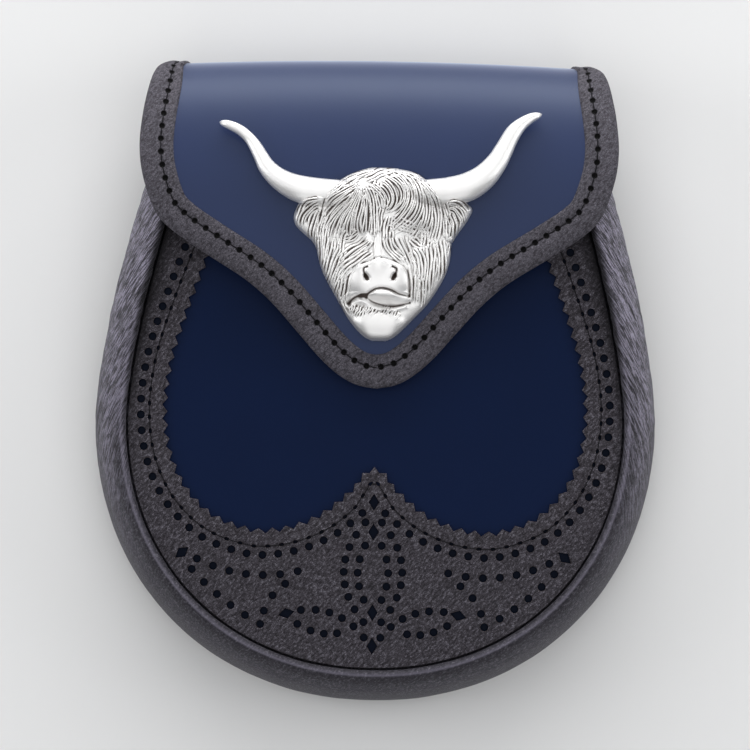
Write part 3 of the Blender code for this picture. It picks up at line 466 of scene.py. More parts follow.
# Locks of hair on the casting, each a bundle of strands along a curve through two bends, in
# millimetres: width of the bundle at both ends, and its level over the locks beneath
LOCKS = table(
    "Lock", "name strands root_width end_width level root bend_1 bend_2 end",
    ("cheek_outer_left", 4, 2.5, 2.5, 0, (-17.1, 54.6), (-19.6, 48.3), (-18.2, 42.0), (-17.8, 36.3)),
    ("cheek_mid_left", 4, 2.8, 2.8, 0, (-14.9, 52.7), (-18.0, 46.4), (-16.9, 40.1), (-17.4, 32.5)),
    ("cheek_inner_left", 4, 3.2, 3.2, 1, (-13.8, 45.2), (-14.1, 40.1), (-15.6, 35.7), (-16.8, 30.0)),
    ("cheek_low_left", 4, 3.2, 2.8, 1, (-11.0, 42.1), (-12.2, 37.6), (-14.3, 33.8), (-15.8, 28.1)),
    ("jaw_left", 4, 3.2, 2.8, 0, (-9.6, 37.1), (-11.8, 32.6), (-13.3, 29.4), (-13.9, 24.4)),
    ("jaw_inner_left", 3, 2.2, 2.2, 1, (-8.0, 35.8), (-9.9, 32.0), (-11.1, 27.6), (-10.7, 22.2)),
    ("jaw_end_left", 3, 2.4, 2.0, 0, (-12.0, 27.5), (-11.6, 24.0), (-10.0, 21.6), (-8.4, 19.4)),
    ("cheek_outer_right", 4, 2.5, 2.2, 0, (20.7, 55.2), (22.7, 48.9), (22.1, 42.6), (21.9, 37.5)),
    ("cheek_mid_right", 4, 3.5, 2.8, 0, (18.9, 45.7), (19.6, 40.0), (21.0, 36.2), (19.2, 30.5)),
    ("cheek_inner_right", 4, 3.8, 2.8, 1, (15.8, 43.1), (17.2, 38.1), (15.3, 33.0), (16.1, 26.1)),
    ("jaw_right", 4, 3.2, 2.5, 0, (12.7, 37.4), (14.7, 33.0), (13.8, 28.6), (13.6, 22.3)),
    ("jaw_inner_right", 3, 2.5, 1.9, 1, (10.9, 37.3), (12.4, 33.0), (11.8, 28.5), (12.0, 23.5)),
    ("cheek_slant_right", 4, 3.8, 3.2, 1, (10.8, 41.8), (13.7, 38.7), (14.0, 35.5), (13.2, 30.5)),
    ("under_eye_right", 4, 5.0, 2.5, 1, (6.3, 46.1), (7.0, 42.3), (8.9, 39.9), (10.9, 35.5)),
    ("nose_side_right", 4, 2.8, 2.5, 2, (3.1, 45.1), (3.5, 41.3), (5.6, 39.4), (9.0, 37.3)),
    ("under_eye_left", 4, 2.5, 3.8, 1, (-2.4, 44.7), (-5.0, 40.9), (-8.1, 40.9), (-11.5, 37.0)),
    ("nose_side_left", 4, 2.8, 3.5, 2, (-2.0, 41.2), (-5.5, 37.9), (-8.7, 37.5), (-12.6, 31.6)),
    ("eyelid_left", 3, 1.6, 0.9, 1, (-6.0, 46.6), (-8.2, 44.0), (-10.0, 43.4), (-11.3, 43.6)),
    ("eyelid_right", 3, 2.5, 1.6, 1, (10.7, 44.9), (12.0, 43.4), (13.3, 42.4), (14.6, 42.5)),
    ("eye_right", 3, 2.5, 1.9, 1, (14.7, 52.5), (13.5, 49.4), (11.7, 47.1), (10.1, 44.9)),
    ("brow_right", 4, 2.6, 3.0, 1, (4.4, 51.4), (3.0, 49.0), (3.6, 46.6), (3.0, 43.0)),
    ("temple_right", 4, 2.5, 2.8, 2, (14.9, 63.0), (20.6, 57.4), (23.3, 50.2), (21.5, 41.3)),
    ("sweep_right_5", 4, 2.5, 3.2, 2, (12.0, 64.8), (18.4, 58.9), (20.8, 49.5), (15.8, 41.2)),
    ("sweep_right_4", 4, 2.5, 2.8, 2, (9.5, 65.7), (16.8, 60.1), (18.2, 50.1), (11.4, 44.3)),
    ("sweep_right_3", 4, 2.5, 2.8, 3, (7.0, 66.0), (14.9, 60.7), (15.7, 51.9), (4.4, 46.1)),
    ("sweep_right_2", 4, 2.2, 2.8, 3, (4.1, 65.9), (13.0, 61.3), (12.5, 53.1), (0.3, 46.0)),
    ("sweep_right_1", 4, 2.2, 2.2, 4, (1.6, 65.0), (10.2, 62.6), (10.6, 54.4), (1.8, 51.4)),
    ("curl_right_2", 4, 2.5, 1.9, 4, (-0.2, 62.7), (5.5, 60.6), (6.2, 55.6), (1.8, 53.0)),
    ("curl_right_1", 4, 2.2, 1.6, 5, (-3.1, 61.7), (1.4, 59.3), (3.3, 56.2), (0.9, 52.7)),
    ("temple_left", 4, 1.9, 2.8, 2, (-1.5, 66.2), (-7.2, 65.1), (-11.6, 61.6), (-16.5, 56.8)),
    ("sweep_left_1", 4, 1.3, 2.8, 3, (-5.3, 62.7), (-8.4, 59.8), (-12.8, 60.3), (-17.1, 54.0)),
    ("sweep_left_2", 4, 1.3, 3.2, 3, (-5.6, 61.7), (-8.3, 56.6), (-14.6, 55.9), (-17.0, 47.7)),
    ("sweep_left_3", 4, 1.3, 3.5, 4, (-5.6, 61.4), (-8.0, 54.7), (-13.7, 53.4), (-15.7, 44.5)),
    ("sweep_left_4", 4, 1.3, 3.5, 4, (-5.6, 61.1), (-7.1, 54.7), (-12.4, 52.1), (-13.5, 43.3)),
    ("fringe_left", 4, 1.3, 3.8, 5, (-5.3, 60.8), (-6.4, 54.8), (-10.8, 52.2), (-10.1, 45.2)),
    ("fringe_middle", 4, 1.6, 3.8, 5, (-4.9, 60.8), (-4.8, 54.8), (-8.0, 51.6), (-6.6, 45.3)),
    ("fringe_right", 4, 1.6, 3.2, 6, (-4.6, 60.8), (-2.6, 54.8), (-2.9, 49.8), (-3.7, 44.1)),
    ("fringe_nose", 3, 1.6, 1.9, 6, (-4.0, 61.4), (-0.8, 56.7), (-1.0, 51.1), (-1.5, 44.1)),
    ("crown_middle", 4, 3.4, 3.0, 1, (2.2, 66.4), (-0.6, 65.4), (-3.0, 64.2), (-5.2, 62.2)),
    ("crown_right", 4, 3.0, 3.0, 1, (2.0, 65.2), (4.6, 66.4), (7.6, 66.0), (10.6, 64.4)),
    ("parting", 3, 2.4, 2.0, 2, (0.4, 62.6), (-1.6, 60.4), (0.2, 57.6), (0.6, 52.0)),
    ("nose_top", 3, 1.8, 1.6, 3, (0.8, 54.6), (0.2, 51.0), (-0.2, 48.2), (0.2, 45.0)),
    ("brow_gap_right", 4, 3.2, 2.6, 0, (6.4, 50.0), (7.8, 48.4), (10.6, 48.2), (14.0, 46.4)),
    ("eye_corner_right", 4, 3.4, 3.0, 0, (14.6, 49.0), (15.8, 46.4), (15.6, 43.6), (14.6, 40.4)),
    ("eye_corner_left", 4, 3.6, 3.0, 0, (-10.4, 47.6), (-12.4, 45.6), (-12.8, 42.4), (-12.0, 39.8)),
    ("over_horn_left", 4, 1.4, 3.0, 4, (-0.6, 66.2), (-7.0, 65.8), (-12.4, 62.4), (-16.2, 57.6)),
    ("over_horn_right", 4, 1.8, 2.6, 3, (4.0, 66.6), (12.6, 66.2), (18.4, 60.8), (21.0, 53.0)),
    ("tuft_left", 8, 4.6, 4.2, 1, (-5.6, 23.4), (-6.1, 22.4), (-6.6, 21.4), (-7.2, 20.0)),
    ("tuft_middle", 9, 5.8, 5.4, 0, (-0.6, 22.6), (-1.2, 21.6), (-1.8, 20.8), (-2.6, 19.5)),
    ("tuft_right", 9, 5.6, 5.0, 1, (5.4, 22.6), (4.8, 21.6), (4.0, 20.6), (3.2, 19.6)),
    ("ear_left_top", 3, 1.6, 2.2, 1, (-17.5, 56.5), (-21.9, 58.0), (-25.0, 55.1), (-25.6, 50.4)),
    ("ear_left_middle", 4, 2.2, 3.2, 2, (-18.1, 54.6), (-20.9, 54.5), (-23.4, 52.0), (-23.7, 47.2)),
    ("ear_left_low", 3, 2.2, 2.5, 3, (-18.1, 52.7), (-19.6, 50.1), (-20.8, 47.0), (-19.8, 42.9)),
    ("ear_right_top", 3, 1.6, 2.2, 1, (21.0, 56.1), (24.1, 57.4), (27.6, 56.2), (28.6, 52.4)),
    ("ear_right_middle", 4, 1.9, 2.8, 2, (21.6, 54.5), (24.2, 54.6), (26.7, 52.1), (26.1, 48.0)),
    ("ear_right_low", 3, 1.9, 2.2, 3, (22.0, 53.0), (23.6, 50.5), (23.9, 47.6), (23.4, 44.5)),
)
# The drawn hair and lines, with lengths in millimetres down to RASTER
HAIR_DEPTH = 0.45
HAIR_SEED = 11
STRAND_STEPS = 90
STRAND_WIDTH = 0.80
STRAND_WIDTHS = (0.6, 1.2)  # its least and most, as shares of that
STRAND_WAVE = 0.14
STRAND_STRAY = 0.05  # share of a lock's width that a strand strays
STRAND_THICKNESS = (0.85, 1.15)
STRAND_STARTS = (0.0, 0.10)  # shares of the lock's length where its strands start and end
STRAND_ENDS = (0.84, 1.0)
STRAND_TAPERS = (8, 4)  # how fast a strand swells from its root and thins to its end
STRAND_POINT = 0.35  # share of its thickness at its ends
STRAND_GROOVE = 1.32  # reach of the groove beside a strand, in strand widths
GROOVE_BAND = (0.8, 1.0)
LEVEL_RISE = 0.05
LEVEL_STRAY = 0.04
MARK_STEPS = 10
MARK_REACH = 1.6  # how far a drawn line fades out, in half widths
MARK_FALL = 1.2
MARK_SHADE = 0.75  # share of a drawn line's depth that counts as tarnished
HOLLOW_REACH = 6  # raster steps each way that a place is compared over
HOLLOW_START = 0.02
HOLLOW_RANGE = 0.26
HOLLOW_MARK = -1.1  # tarnish of a drawn line for its depth, and how shallow it starts
HOLLOW_SHALLOW = 0.25
RASTER = 0.10  # step of the drawn relief
LAST_CELL = 1.001  # cells before the raster's end, where a place still has a next one
RELIEF_STEP = 0.000149
RELIEF_RIM = 1.45  # relief steps outside the head that are kept for its foot
RELIEF_PULL = 1.5
LEAST_SLOPE = 0.3
LEAST_HEIGHT = 0.0006
FOOT_SHARE = 0.35  # share of the height that the head has at its edge
RELIEF_LOW = (-28.6, 10.8)  # corners of the raster, in millimetres
RELIEF_HIGH = (30.6, 68.4)

HORN_COLUMNS = "x y radius"
HORN_LEFT = table(
    "HornRow", HORN_COLUMNS,
    (-0.0122, 0.0588, 0.0039),
    (-0.0189, 0.0590, 0.0042),
    (-0.0243, 0.0596, 0.0043),
    (-0.0286, 0.0612, 0.0038),
    (-0.0324, 0.0636, 0.0032),
    (-0.0353, 0.0666, 0.0027),
    (-0.0371, 0.0697, 0.0023),
    (-0.0391, 0.0731, 0.0020),
    (-0.0411, 0.0757, 0.0017),
    (-0.0437, 0.0779, 0.0016),
    (-0.0470, 0.0795, 0.0014),
    (-0.0504, 0.0805, 0.0009),
)
HORN_RIGHT = table(
    "HornRow", HORN_COLUMNS,
    (0.0146, 0.0594, 0.0038),
    (0.0184, 0.0595, 0.0041),
    (0.0228, 0.0598, 0.0044),
    (0.0282, 0.0612, 0.0045),
    (0.0331, 0.0644, 0.0040),
    (0.0367, 0.0686, 0.0034),
    (0.0389, 0.0724, 0.0030),
    (0.0406, 0.0758, 0.0027),
    (0.0424, 0.0788, 0.0025),
    (0.0447, 0.0812, 0.0020),
    (0.0477, 0.0832, 0.0015),
    (0.0511, 0.0844, 0.0008),
)
HORN_FOLLOW = 0.6
HORN_FLATNESS = 0.95
HORN_TIP = 0.0022  # length of the rounding at a horn's tip
HORN_STEPS = 16  # between two of its rows
HORN_STATIONS = 100
HORN_ROOT = 40  # stations that the hair may cover
HORN_TURNS = 40
HORN_LEAST = 0.00005
HORN_MERGE_REACH = 0.00001
HAIR_OVER_HORN = 0.0005

# Ears, each a loop of places in millimetres that starts inside the head
EAR_LEFT = (
    (-13.0, 52.0), (-14.2, 56.6), (-16.6, 57.4), (-19.1, 58.0), (-21.3, 57.5), (-23.4, 56.9),
    (-24.7, 55.7), (-25.6, 54.1), (-26.5, 51.6), (-26.5, 50.0), (-25.9, 48.3), (-24.7, 46.9),
    (-23.0, 45.4), (-21.1, 43.8), (-19.9, 42.3), (-18.5, 40.2), (-14.5, 41.0), (-13.0, 46.0),
)
EAR_RIGHT = (
    (19.0, 54.0), (21.3, 56.4), (22.5, 57.2), (24.3, 57.4), (26.8, 56.6), (28.7, 55.2),
    (29.4, 54.3), (29.4, 53.1), (28.1, 50.5), (26.4, 48.0), (24.5, 45.4), (22.9, 43.2),
    (18.5, 43.0), (18.0, 48.0),
)
EAR_RISE = 0.0042
EAR_ROUNDING = 0.0032
EAR_EDGE = 0.4  # share of its rise that an ear has at its edge
CURVE_STEPS = 4  # between two places of a loop
LOOP_FAR = 0.0040  # distances outside a loop are known up to this far
BADGE_SEAT = FLAP_LEATHER / 2 + GAP

# Strap loops behind
LOOP_OFFSET = 0.0350
LOOP_WIDTH = 0.0220
LOOP_LEATHER = 0.0020
LOOP_TOP = 0.0700
LOOP_BOTTOM = 0.0220
LOOP_FOOT = 0.0080
LOOP_RAMP = 0.0040
LOOP_CLEAR = 0.0052
LOOP_SHIFT = 0.0009
LOOP_EDGE = 0.0003
LOOP_STITCH = 0.0035
LOOP_STITCH_PITCH = 0.0045
LOOP_STITCH_INSET = 0.0025


def lay_down_matrix():
    """From the pouch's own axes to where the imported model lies."""
    toe = OUTLINE_RADIUS - OUTLINE_CENTRE - BACK_INSET
    heel = LOOP_BOTTOM + LOOP_FOOT + LOOP_RAMP - LOOP_SHIFT
    tilt = math.atan((LOOP_CLEAR + LOOP_LEATHER) / (toe + heel))
    low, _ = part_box("back_panel")
    across = low.y + toe * math.cos(tilt) + BACK_LEATHER * math.sin(tilt)
    up = low.z + toe * math.sin(tilt)
    return Matrix.Translation((0.0, across, up)) @ Matrix.Rotation(tilt, 4, "X")


PLACE = lay_down_matrix()


# Studio
FLOOR_REACH = 6.0
FLOOR_GAP = 0.0001
SKY_COLOUR = (0.90, 0.94, 1.0)
SKY_STRENGTH = 0.15
SENSOR_WIDTH = 36.0  # millimetres
CAMERA_RANGE = (0.05, 20.0)
CAMERA_AIM = (-0.00028, 0.00157)  # centre of its view, in the pouch's own axes
FRONT_HEIGHT = 0.030  # where the picture's width is measured
LIGHTS = table(
    "Light", "name width height power place aim",
    ("overhead_softbox", 6.0, 6.0, 120.0, (0.0, 0.0, 4.80), (0.0, 0.0, 0.0)),
    ("back_softbox", 3.0, 2.0, 22.0, (0.0, 2.40, 2.00), (0.0, 0.0, 0.0)),
    ("front_softbox", 3.0, 2.0, 18.0, (0.0, -2.40, 1.60), (0.0, 0.0, 0.0)),
    ("top_softbox", 2.4, 0.7, 30.0, (0.0, 1.40, 0.36), (0.0, 0.0, 0.03)),
    ("left_softbox", 0.7, 1.4, 7.0, (-1.30, 0.10, 0.45), (0.0, 0.0, 0.02)),
    ("right_softbox", 0.7, 1.4, 7.0, (1.30, 0.10, 0.45), (0.0, 0.0, 0.02)),
)


# Curves and surfaces


def smooth_line(guides, steps=12):
    """A smooth curve through the guide points, as a dense polyline."""
    points = np.array([tuple(guide)[:2] for guide in guides])
    ends = np.vstack([2 * points[0] - points[1], points, 2 * points[-1] - points[-2]])
    t = (np.arange(steps) / steps)[:, None]
    line = []
    for before, start, stop, after in zip(ends, ends[1:], ends[2:], ends[3:]):
        line.append(
            0.5 * (2 * start + (stop - before) * t
                   + (2 * before - 5 * start + 4 * stop - after) * t ** 2
                   + (3 * start - before - 3 * stop + after) * t ** 3)
        )
    return np.vstack([*line, points[-1]])


def distances(line):
    steps = np.linalg.norm(np.diff(line, axis=0), axis=1)
    return np.concatenate([[0.0], np.cumsum(steps)])


def read_rows(wanted, along, rows):
    """Rows of values known along a line, read where they are wanted."""
    return np.column_stack([np.interp(wanted, along, column) for column in rows.T])


def at_distances(line, wanted):
    return read_rows(wanted, distances(line), line)


def evenly(line, count):
    return at_distances(line, np.linspace(0.0, distances(line)[-1], count))


def offset(line, inset):
    """The line moved to its left."""
    tangent = np.gradient(line, axis=0)
    tangent /= np.linalg.norm(tangent, axis=1)[:, None]
    return line + inset * np.column_stack([-tangent[:, 1], tangent[:, 0]])


def softened(line, reach):
    """The line with its small kinks averaged out, its ends kept."""
    weights = np.hanning(2 * reach + 3)[1:-1]
    weights /= weights.sum()
    head = 2 * line[0] - line[reach:0:-1]
    tail = 2 * line[-1] - line[-2:-reach - 2:-1]
    padded = np.vstack([head, line, tail])
    return np.column_stack([np.convolve(column, weights, "valid") for column in padded.T])


def pouch_line(inset, top, stations):
    """The pouch's outline moved inward, from its upper left round the bottom to its upper right."""
    angles = np.linspace(math.pi / 2, 0.0, OUTLINE_STEPS + 1)
    power = 2 / OUTLINE_POWER
    lower = np.column_stack([
        OUTLINE_RADIUS * np.maximum(np.cos(angles), 0.0) ** power,
        OUTLINE_CENTRE - OUTLINE_RADIUS * np.sin(angles) ** power,
    ])
    heights = np.linspace(OUTLINE_CENTRE, top + SHOULDER_NARROWING, SHOULDER_STEPS + 1)[1:]
    rise = (heights - OUTLINE_CENTRE) / SHOULDER_RISE
    narrowed = OUTLINE_RADIUS - SHOULDER_NARROWING * rise ** SHOULDER_POWER
    upper = np.column_stack([narrowed, heights])
    line = offset(np.vstack([lower, upper]), inset)
    line[0, 0] = 0.0
    last = np.argmax(line[:, 1] > top)
    share = (top - line[last - 1, 1]) / (line[last, 1] - line[last - 1, 1])
    cut = line[last - 1] + share * (line[last] - line[last - 1])
    right = evenly(np.vstack([line[:last], cut]), stations // 2 + 1)
    return np.vstack([right[:0:-1] * (-1, 1), right])


def rounded_top(ring, radius, steps=8):
    """The ring closed across its top with rounded corners."""
    half, top = ring[-1]
    turns = math.pi / 2 * np.arange(1, steps + 1) / steps
    corner = np.column_stack([
        half - radius + radius * np.cos(turns), top + radius * np.sin(turns),
    ])
    return np.vstack([ring, corner, corner[::-1] * (-1, 1)])


def circle(x, y, radius, sides):
    turns = 2 * math.pi * (np.arange(sides) + 0.5) / sides
    return np.column_stack([x + radius * np.cos(turns), y + radius * np.sin(turns)])


def diamond(place, side):
    turn = math.radians(place.turn) * side
    corners = ((DIAMOND_WIDTH / 2, 0), (0, DIAMOND_HEIGHT / 2))
    corners += tuple((-x, -y) for x, y in corners)
    return [
        (place.x * side + x * math.cos(turn) - y * math.sin(turn),
         place.y + x * math.sin(turn) + y * math.cos(turn))
        for x, y in corners
    ]


def seam_height(y):
    above = np.maximum(0.0, y - SEAM_FALL_START) / (GUSSET_TOP - SEAM_FALL_START)
    return SEAM_HEIGHT - SEAM_FALL_TOP * above ** 2


def smoothstep(low, high, value):
    t = np.clip((value - low) / (high - low), 0.0, 1.0)
    return t * t * (3 - 2 * t)


def recess(y):
    return RECESS_LOW + (RECESS_HIGH - RECESS_LOW) * smoothstep(RECESS_FROM, RECESS_TO, y)


def bib_surface(x, y):
    """Height of the bib's outer face."""
    away = (x * x + (y - CROWN_CENTRE) ** 2) / CROWN_RADIUS ** 2
    return seam_height(y) - recess(y) + FRONT_CROWN * np.maximum(0.0, 1.0 - away)


def front_surface(x, y):
    return bib_surface(x, y) - BIB_LEATHER - GAP


def fold_line():
    """The flap's middle line in side view, as rows of y and z, from its back end to its tongue."""
    turns = np.radians(np.linspace(90, 0, FOLD_BACK_STEPS + 1))
    straight = np.array([[FLAP_BACK_END, FLAP_BACK_DEPTH]])
    behind = np.column_stack([
        CREST_HEIGHT - FOLD_BACK_REACH + FOLD_BACK_REACH * np.cos(turns),
        CREST_DEPTH - (CREST_DEPTH - FLAP_BACK_DEPTH) * np.sin(turns),
    ])
    turns = np.radians(np.linspace(0, 90, FOLD_FRONT_STEPS + 1))[1:]
    before = np.column_stack([
        CREST_HEIGHT - FOLD_FRONT_REACH + FOLD_FRONT_REACH * np.cos(turns),
        CREST_DEPTH + FOLD_FRONT_RISE * np.sin(turns),
    ])
    start, depth = before[-1]
    heights = np.linspace(start, TONGUE_END, TONGUE_STEPS + 1)[1:]
    tongue = np.column_stack([
        heights, depth - TONGUE_SINK * ((start - heights) / TONGUE_RUN) ** 2,
    ])
    return np.vstack([straight, behind, before, tongue]), len(straight) + len(behind) - 1


FOLD, FOLD_CREST = fold_line()
FOLD_ALONG = distances(FOLD) - distances(FOLD)[FOLD_CREST]
FOLD_NORMAL = offset(FOLD, -1.0) - FOLD


def along_at(height):
    """Leather length from the crest to a height on the flap's front."""
    return np.interp(-np.asarray(height), -FOLD[FOLD_CREST:, 0], FOLD_ALONG[FOLD_CREST:])


def on_flap(x, along, lift=0.0):
    """Places on the flap at x across and this far from the crest, lifted from its middle."""
    y, z, out_y, out_z = (
        np.interp(along, FOLD_ALONG, column) for column in (*FOLD.T, *FOLD_NORMAL.T)
    )
    lift = lift - CREST_SAG * (x / CREST_SAG_WIDTH) ** 2 * np.maximum(0.0, out_y)
    x = np.broadcast_to(x, np.shape(y + lift))
    return np.stack([x, y + lift * out_y, z + lift * out_z], axis=-1)


def flap_surface(y):
    """Height of the middle of the flap's front."""
    return np.interp(along_at(y), FOLD_ALONG, FOLD[:, 1])


def binding_line():
    """The flap's whole outer edge laid flat, x and leather length, from back right to back left."""
    front = [(guide.half_width, along_at(guide.height)) for guide in FLAP_EDGE_FRONT]
    right = smooth_line(list(FLAP_EDGE_BACK) + front, EDGE_STEPS)
    return evenly(np.vstack([right, right[-2::-1] * (-1, 1)]), EDGE_STATIONS + 1)


# Meshes


def sheet(name, places, leather):
    """A grid whose corners are moved to these places, rows by columns, with its map in metres."""
    rows, columns = places.shape[:2]
    bm = bmesh.new()
    bm.loops.layers.uv.new("Leather")
    bmesh.ops.create_grid(
        bm, x_segments=columns - 1, y_segments=rows - 1, size=0.5, calc_uvs=True,
    )
    mesh = bpy.data.meshes.new(name)
    bm.to_mesh(mesh)
    bm.free()
    mesh.vertices.foreach_set("co", places.reshape(-1, 3).ravel())
    corners = np.empty(len(mesh.loops), np.int32)
    mesh.loops.foreach_get("vertex_index", corners)
    mesh.uv_layers["Leather"].data.foreach_set("uv", leather.reshape(-1, 2)[corners].ravel())
    mesh.update()
    return mesh


def normals_of(places):
    """The unit normals of a grid of places, rows by columns."""
    across = np.gradient(places, axis=1)
    along = np.gradient(places, axis=0)
    normal = np.cross(across, along)
    return normal / np.maximum(np.linalg.norm(normal, axis=2, keepdims=True), TINY)


def along_wrinkles(side, across, stretch):
    """A place's distances along and over the gusset's wrinkles, which slant on both sides alike."""
    along = (side * WRINKLE_RUN + across * WRINKLE_RISE) * stretch
    return along, side * WRINKLE_RISE - across * WRINKLE_RUN


def wander(x, y, size, seed):
    """Smooth noise from -1 to 1 over two arrays of lengths, with features of this size."""
    flat = zip(np.ravel(x) / size, np.ravel(y) / size)
    values = [noise.noise(Vector((u, v, seed))) for u, v in flat]
    return np.array(values).reshape(np.shape(x))


def linked(name, data):
    """An object of this data, in the scene."""
    made = bpy.data.objects.new(name, data)
    bpy.context.scene.collection.objects.link(made)
    return made


def opened(*meshes):
    """A bmesh of these meshes, which are used up."""
    bm = bmesh.new()
    for mesh in meshes:
        bm.from_mesh(mesh)
        bpy.data.meshes.remove(mesh)
    return bm


def piece(name, mesh, finish, slot, *nodes):
    """A finished piece of the pouch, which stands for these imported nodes."""
    mesh.transform(PLACE)
    made = linked(name, mesh)
    mesh.materials.clear()
    mesh.materials.append(finish)
    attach(made, "root")
    if nodes:
        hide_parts(*nodes)
    return made


def thickened(mesh, thickness):
    """The sheet given its thickness behind its outer face, as a new mesh."""
    holder = linked("thickening", mesh)
    shell = holder.modifiers.new("leather", "SOLIDIFY")
    shell.thickness = thickness
    shell.offset = -1.0
    made = evaluated_mesh(holder, mesh.name)
    bpy.data.objects.remove(holder)
    bpy.data.meshes.remove(mesh)
    shaded(made)
    return made


def evaluated_mesh(holder, name):
    bpy.context.view_layer.update()
    graph = bpy.context.evaluated_depsgraph_get()
    made = bpy.data.meshes.new_from_object(holder.evaluated_get(graph))
    made.name = name
    return made


def shaded(mesh, angle=40):
    mesh.shade_smooth()
    mesh.set_sharp_from_angle(angle=math.radians(angle))
    return mesh


def flat_plate(name, outlines, thickness, edge):
    """A plate of these outlines with rounded edges, the later outlines being holes in the first."""
    curve = bpy.data.curves.new(name, "CURVE")
    curve.dimensions = "2D"
    curve.fill_mode = "BOTH"
    curve.extrude = thickness / 2 - edge
    curve.bevel_depth = edge
    curve.bevel_resolution = 1
    curve.offset = -edge
    for outline in outlines:
        spline = curve.splines.new("POLY")
        spline.points.add(len(outline) - 1)
        for point, (x, y) in zip(spline.points, outline):
            point.co = (x, y, 0.0, 1.0)
        spline.use_cyclic_u = True
    holder = linked(name, curve)
    made = evaluated_mesh(holder, name)
    bpy.data.objects.remove(holder)
    bpy.data.curves.remove(curve)
    bm = opened(made)
    bmesh.ops.remove_doubles(bm, verts=bm.verts, dist=MERGE_REACH)
    return bm


def sliced(bm, width):
    """Cuts the plate's faces along a grid, so that it can follow a curved surface."""
    reach = int(OUTLINE_RADIUS / width) + 1
    for axis in (Vector((1, 0, 0)), Vector((0, 1, 0))):
        for step in range(-reach, reach + 1):
            bmesh.ops.bisect_plane(
                bm, geom=bm.verts[:] + bm.edges[:] + bm.faces[:], dist=CUT_REACH,
                plane_co=axis * ((step + SLICE_SHIFT) * width), plane_no=axis,
            )


def to_mesh(bm, name):
    mesh = bpy.data.meshes.new(name)
    bm.to_mesh(mesh)
    bm.free()
    return mesh


def mark_raw(mesh, thickness, depth):
    """Marks the cut edges of a plate, between its two faces."""
    away = thickness / 2 - np.abs(places_of(mesh)[:, 2])
    set_field(mesh, "raw", smoothstep(0.0, depth, away))


def set_field(mesh, name, values):
    field = mesh.attributes.get(name) or mesh.attributes.new(name, "FLOAT", "POINT")
    field.data.foreach_set("value", np.ravel(values))


def places_of(mesh):
    places = np.empty(len(mesh.vertices) * 3, np.float32)
    mesh.vertices.foreach_get("co", places)
    return places.reshape(-1, 3)


def crease_shade(inset, y):
    """How much shade is painted into the crease inside the raised seam, which is deepest under the
    flap.
    """
    depth = smoothstep(*CREASE_HEIGHTS, y)
    rise = smoothstep(CREASE_FROM - CREASE_SPREAD * depth, CREASE_MIDDLE, inset)
    faded = CREASE_MIDDLE + CREASE_FADE + CREASE_FADE_GROWTH * depth
    fall = smoothstep(CREASE_MIDDLE + CREASE_FALL, faded, inset)
    return (CREASE_SHADE + CREASE_SHADE_GROWTH * depth) * rise * (1 - fall)


# Shaders


class Wire:
    """A shader socket that Python's operators work on."""

    def __init__(self, finish, socket):
        self.finish = finish
        self.socket = socket

    def _math(self, operation, *values):
        return self.finish.node("Math", {"operation": operation}, dict(enumerate(values)))

    def __add__(self, other):
        return self._math("ADD", self, other)

    def __sub__(self, other):
        return self._math("SUBTRACT", self, other)

    def __mul__(self, other):
        return self._math("MULTIPLY", self, other)

    def __pow__(self, other):
        return self._math("POWER", self, other)

    def __radd__(self, other):
        return self._math("ADD", other, self)

    def __rsub__(self, other):
        return self._math("SUBTRACT", other, self)

    def __rmul__(self, other):
        return self._math("MULTIPLY", other, self)

    def __abs__(self):
        return self._math("ABSOLUTE", self)

    def stepped(self, low, high):
        """From 0 at low to 1 at high, smoothly."""
        settings = {"interpolation_type": "SMOOTHSTEP"}
        return self.finish.node("MapRange", settings, {0: self, 1: low, 2: high, 3: 0.0, 4: 1.0})


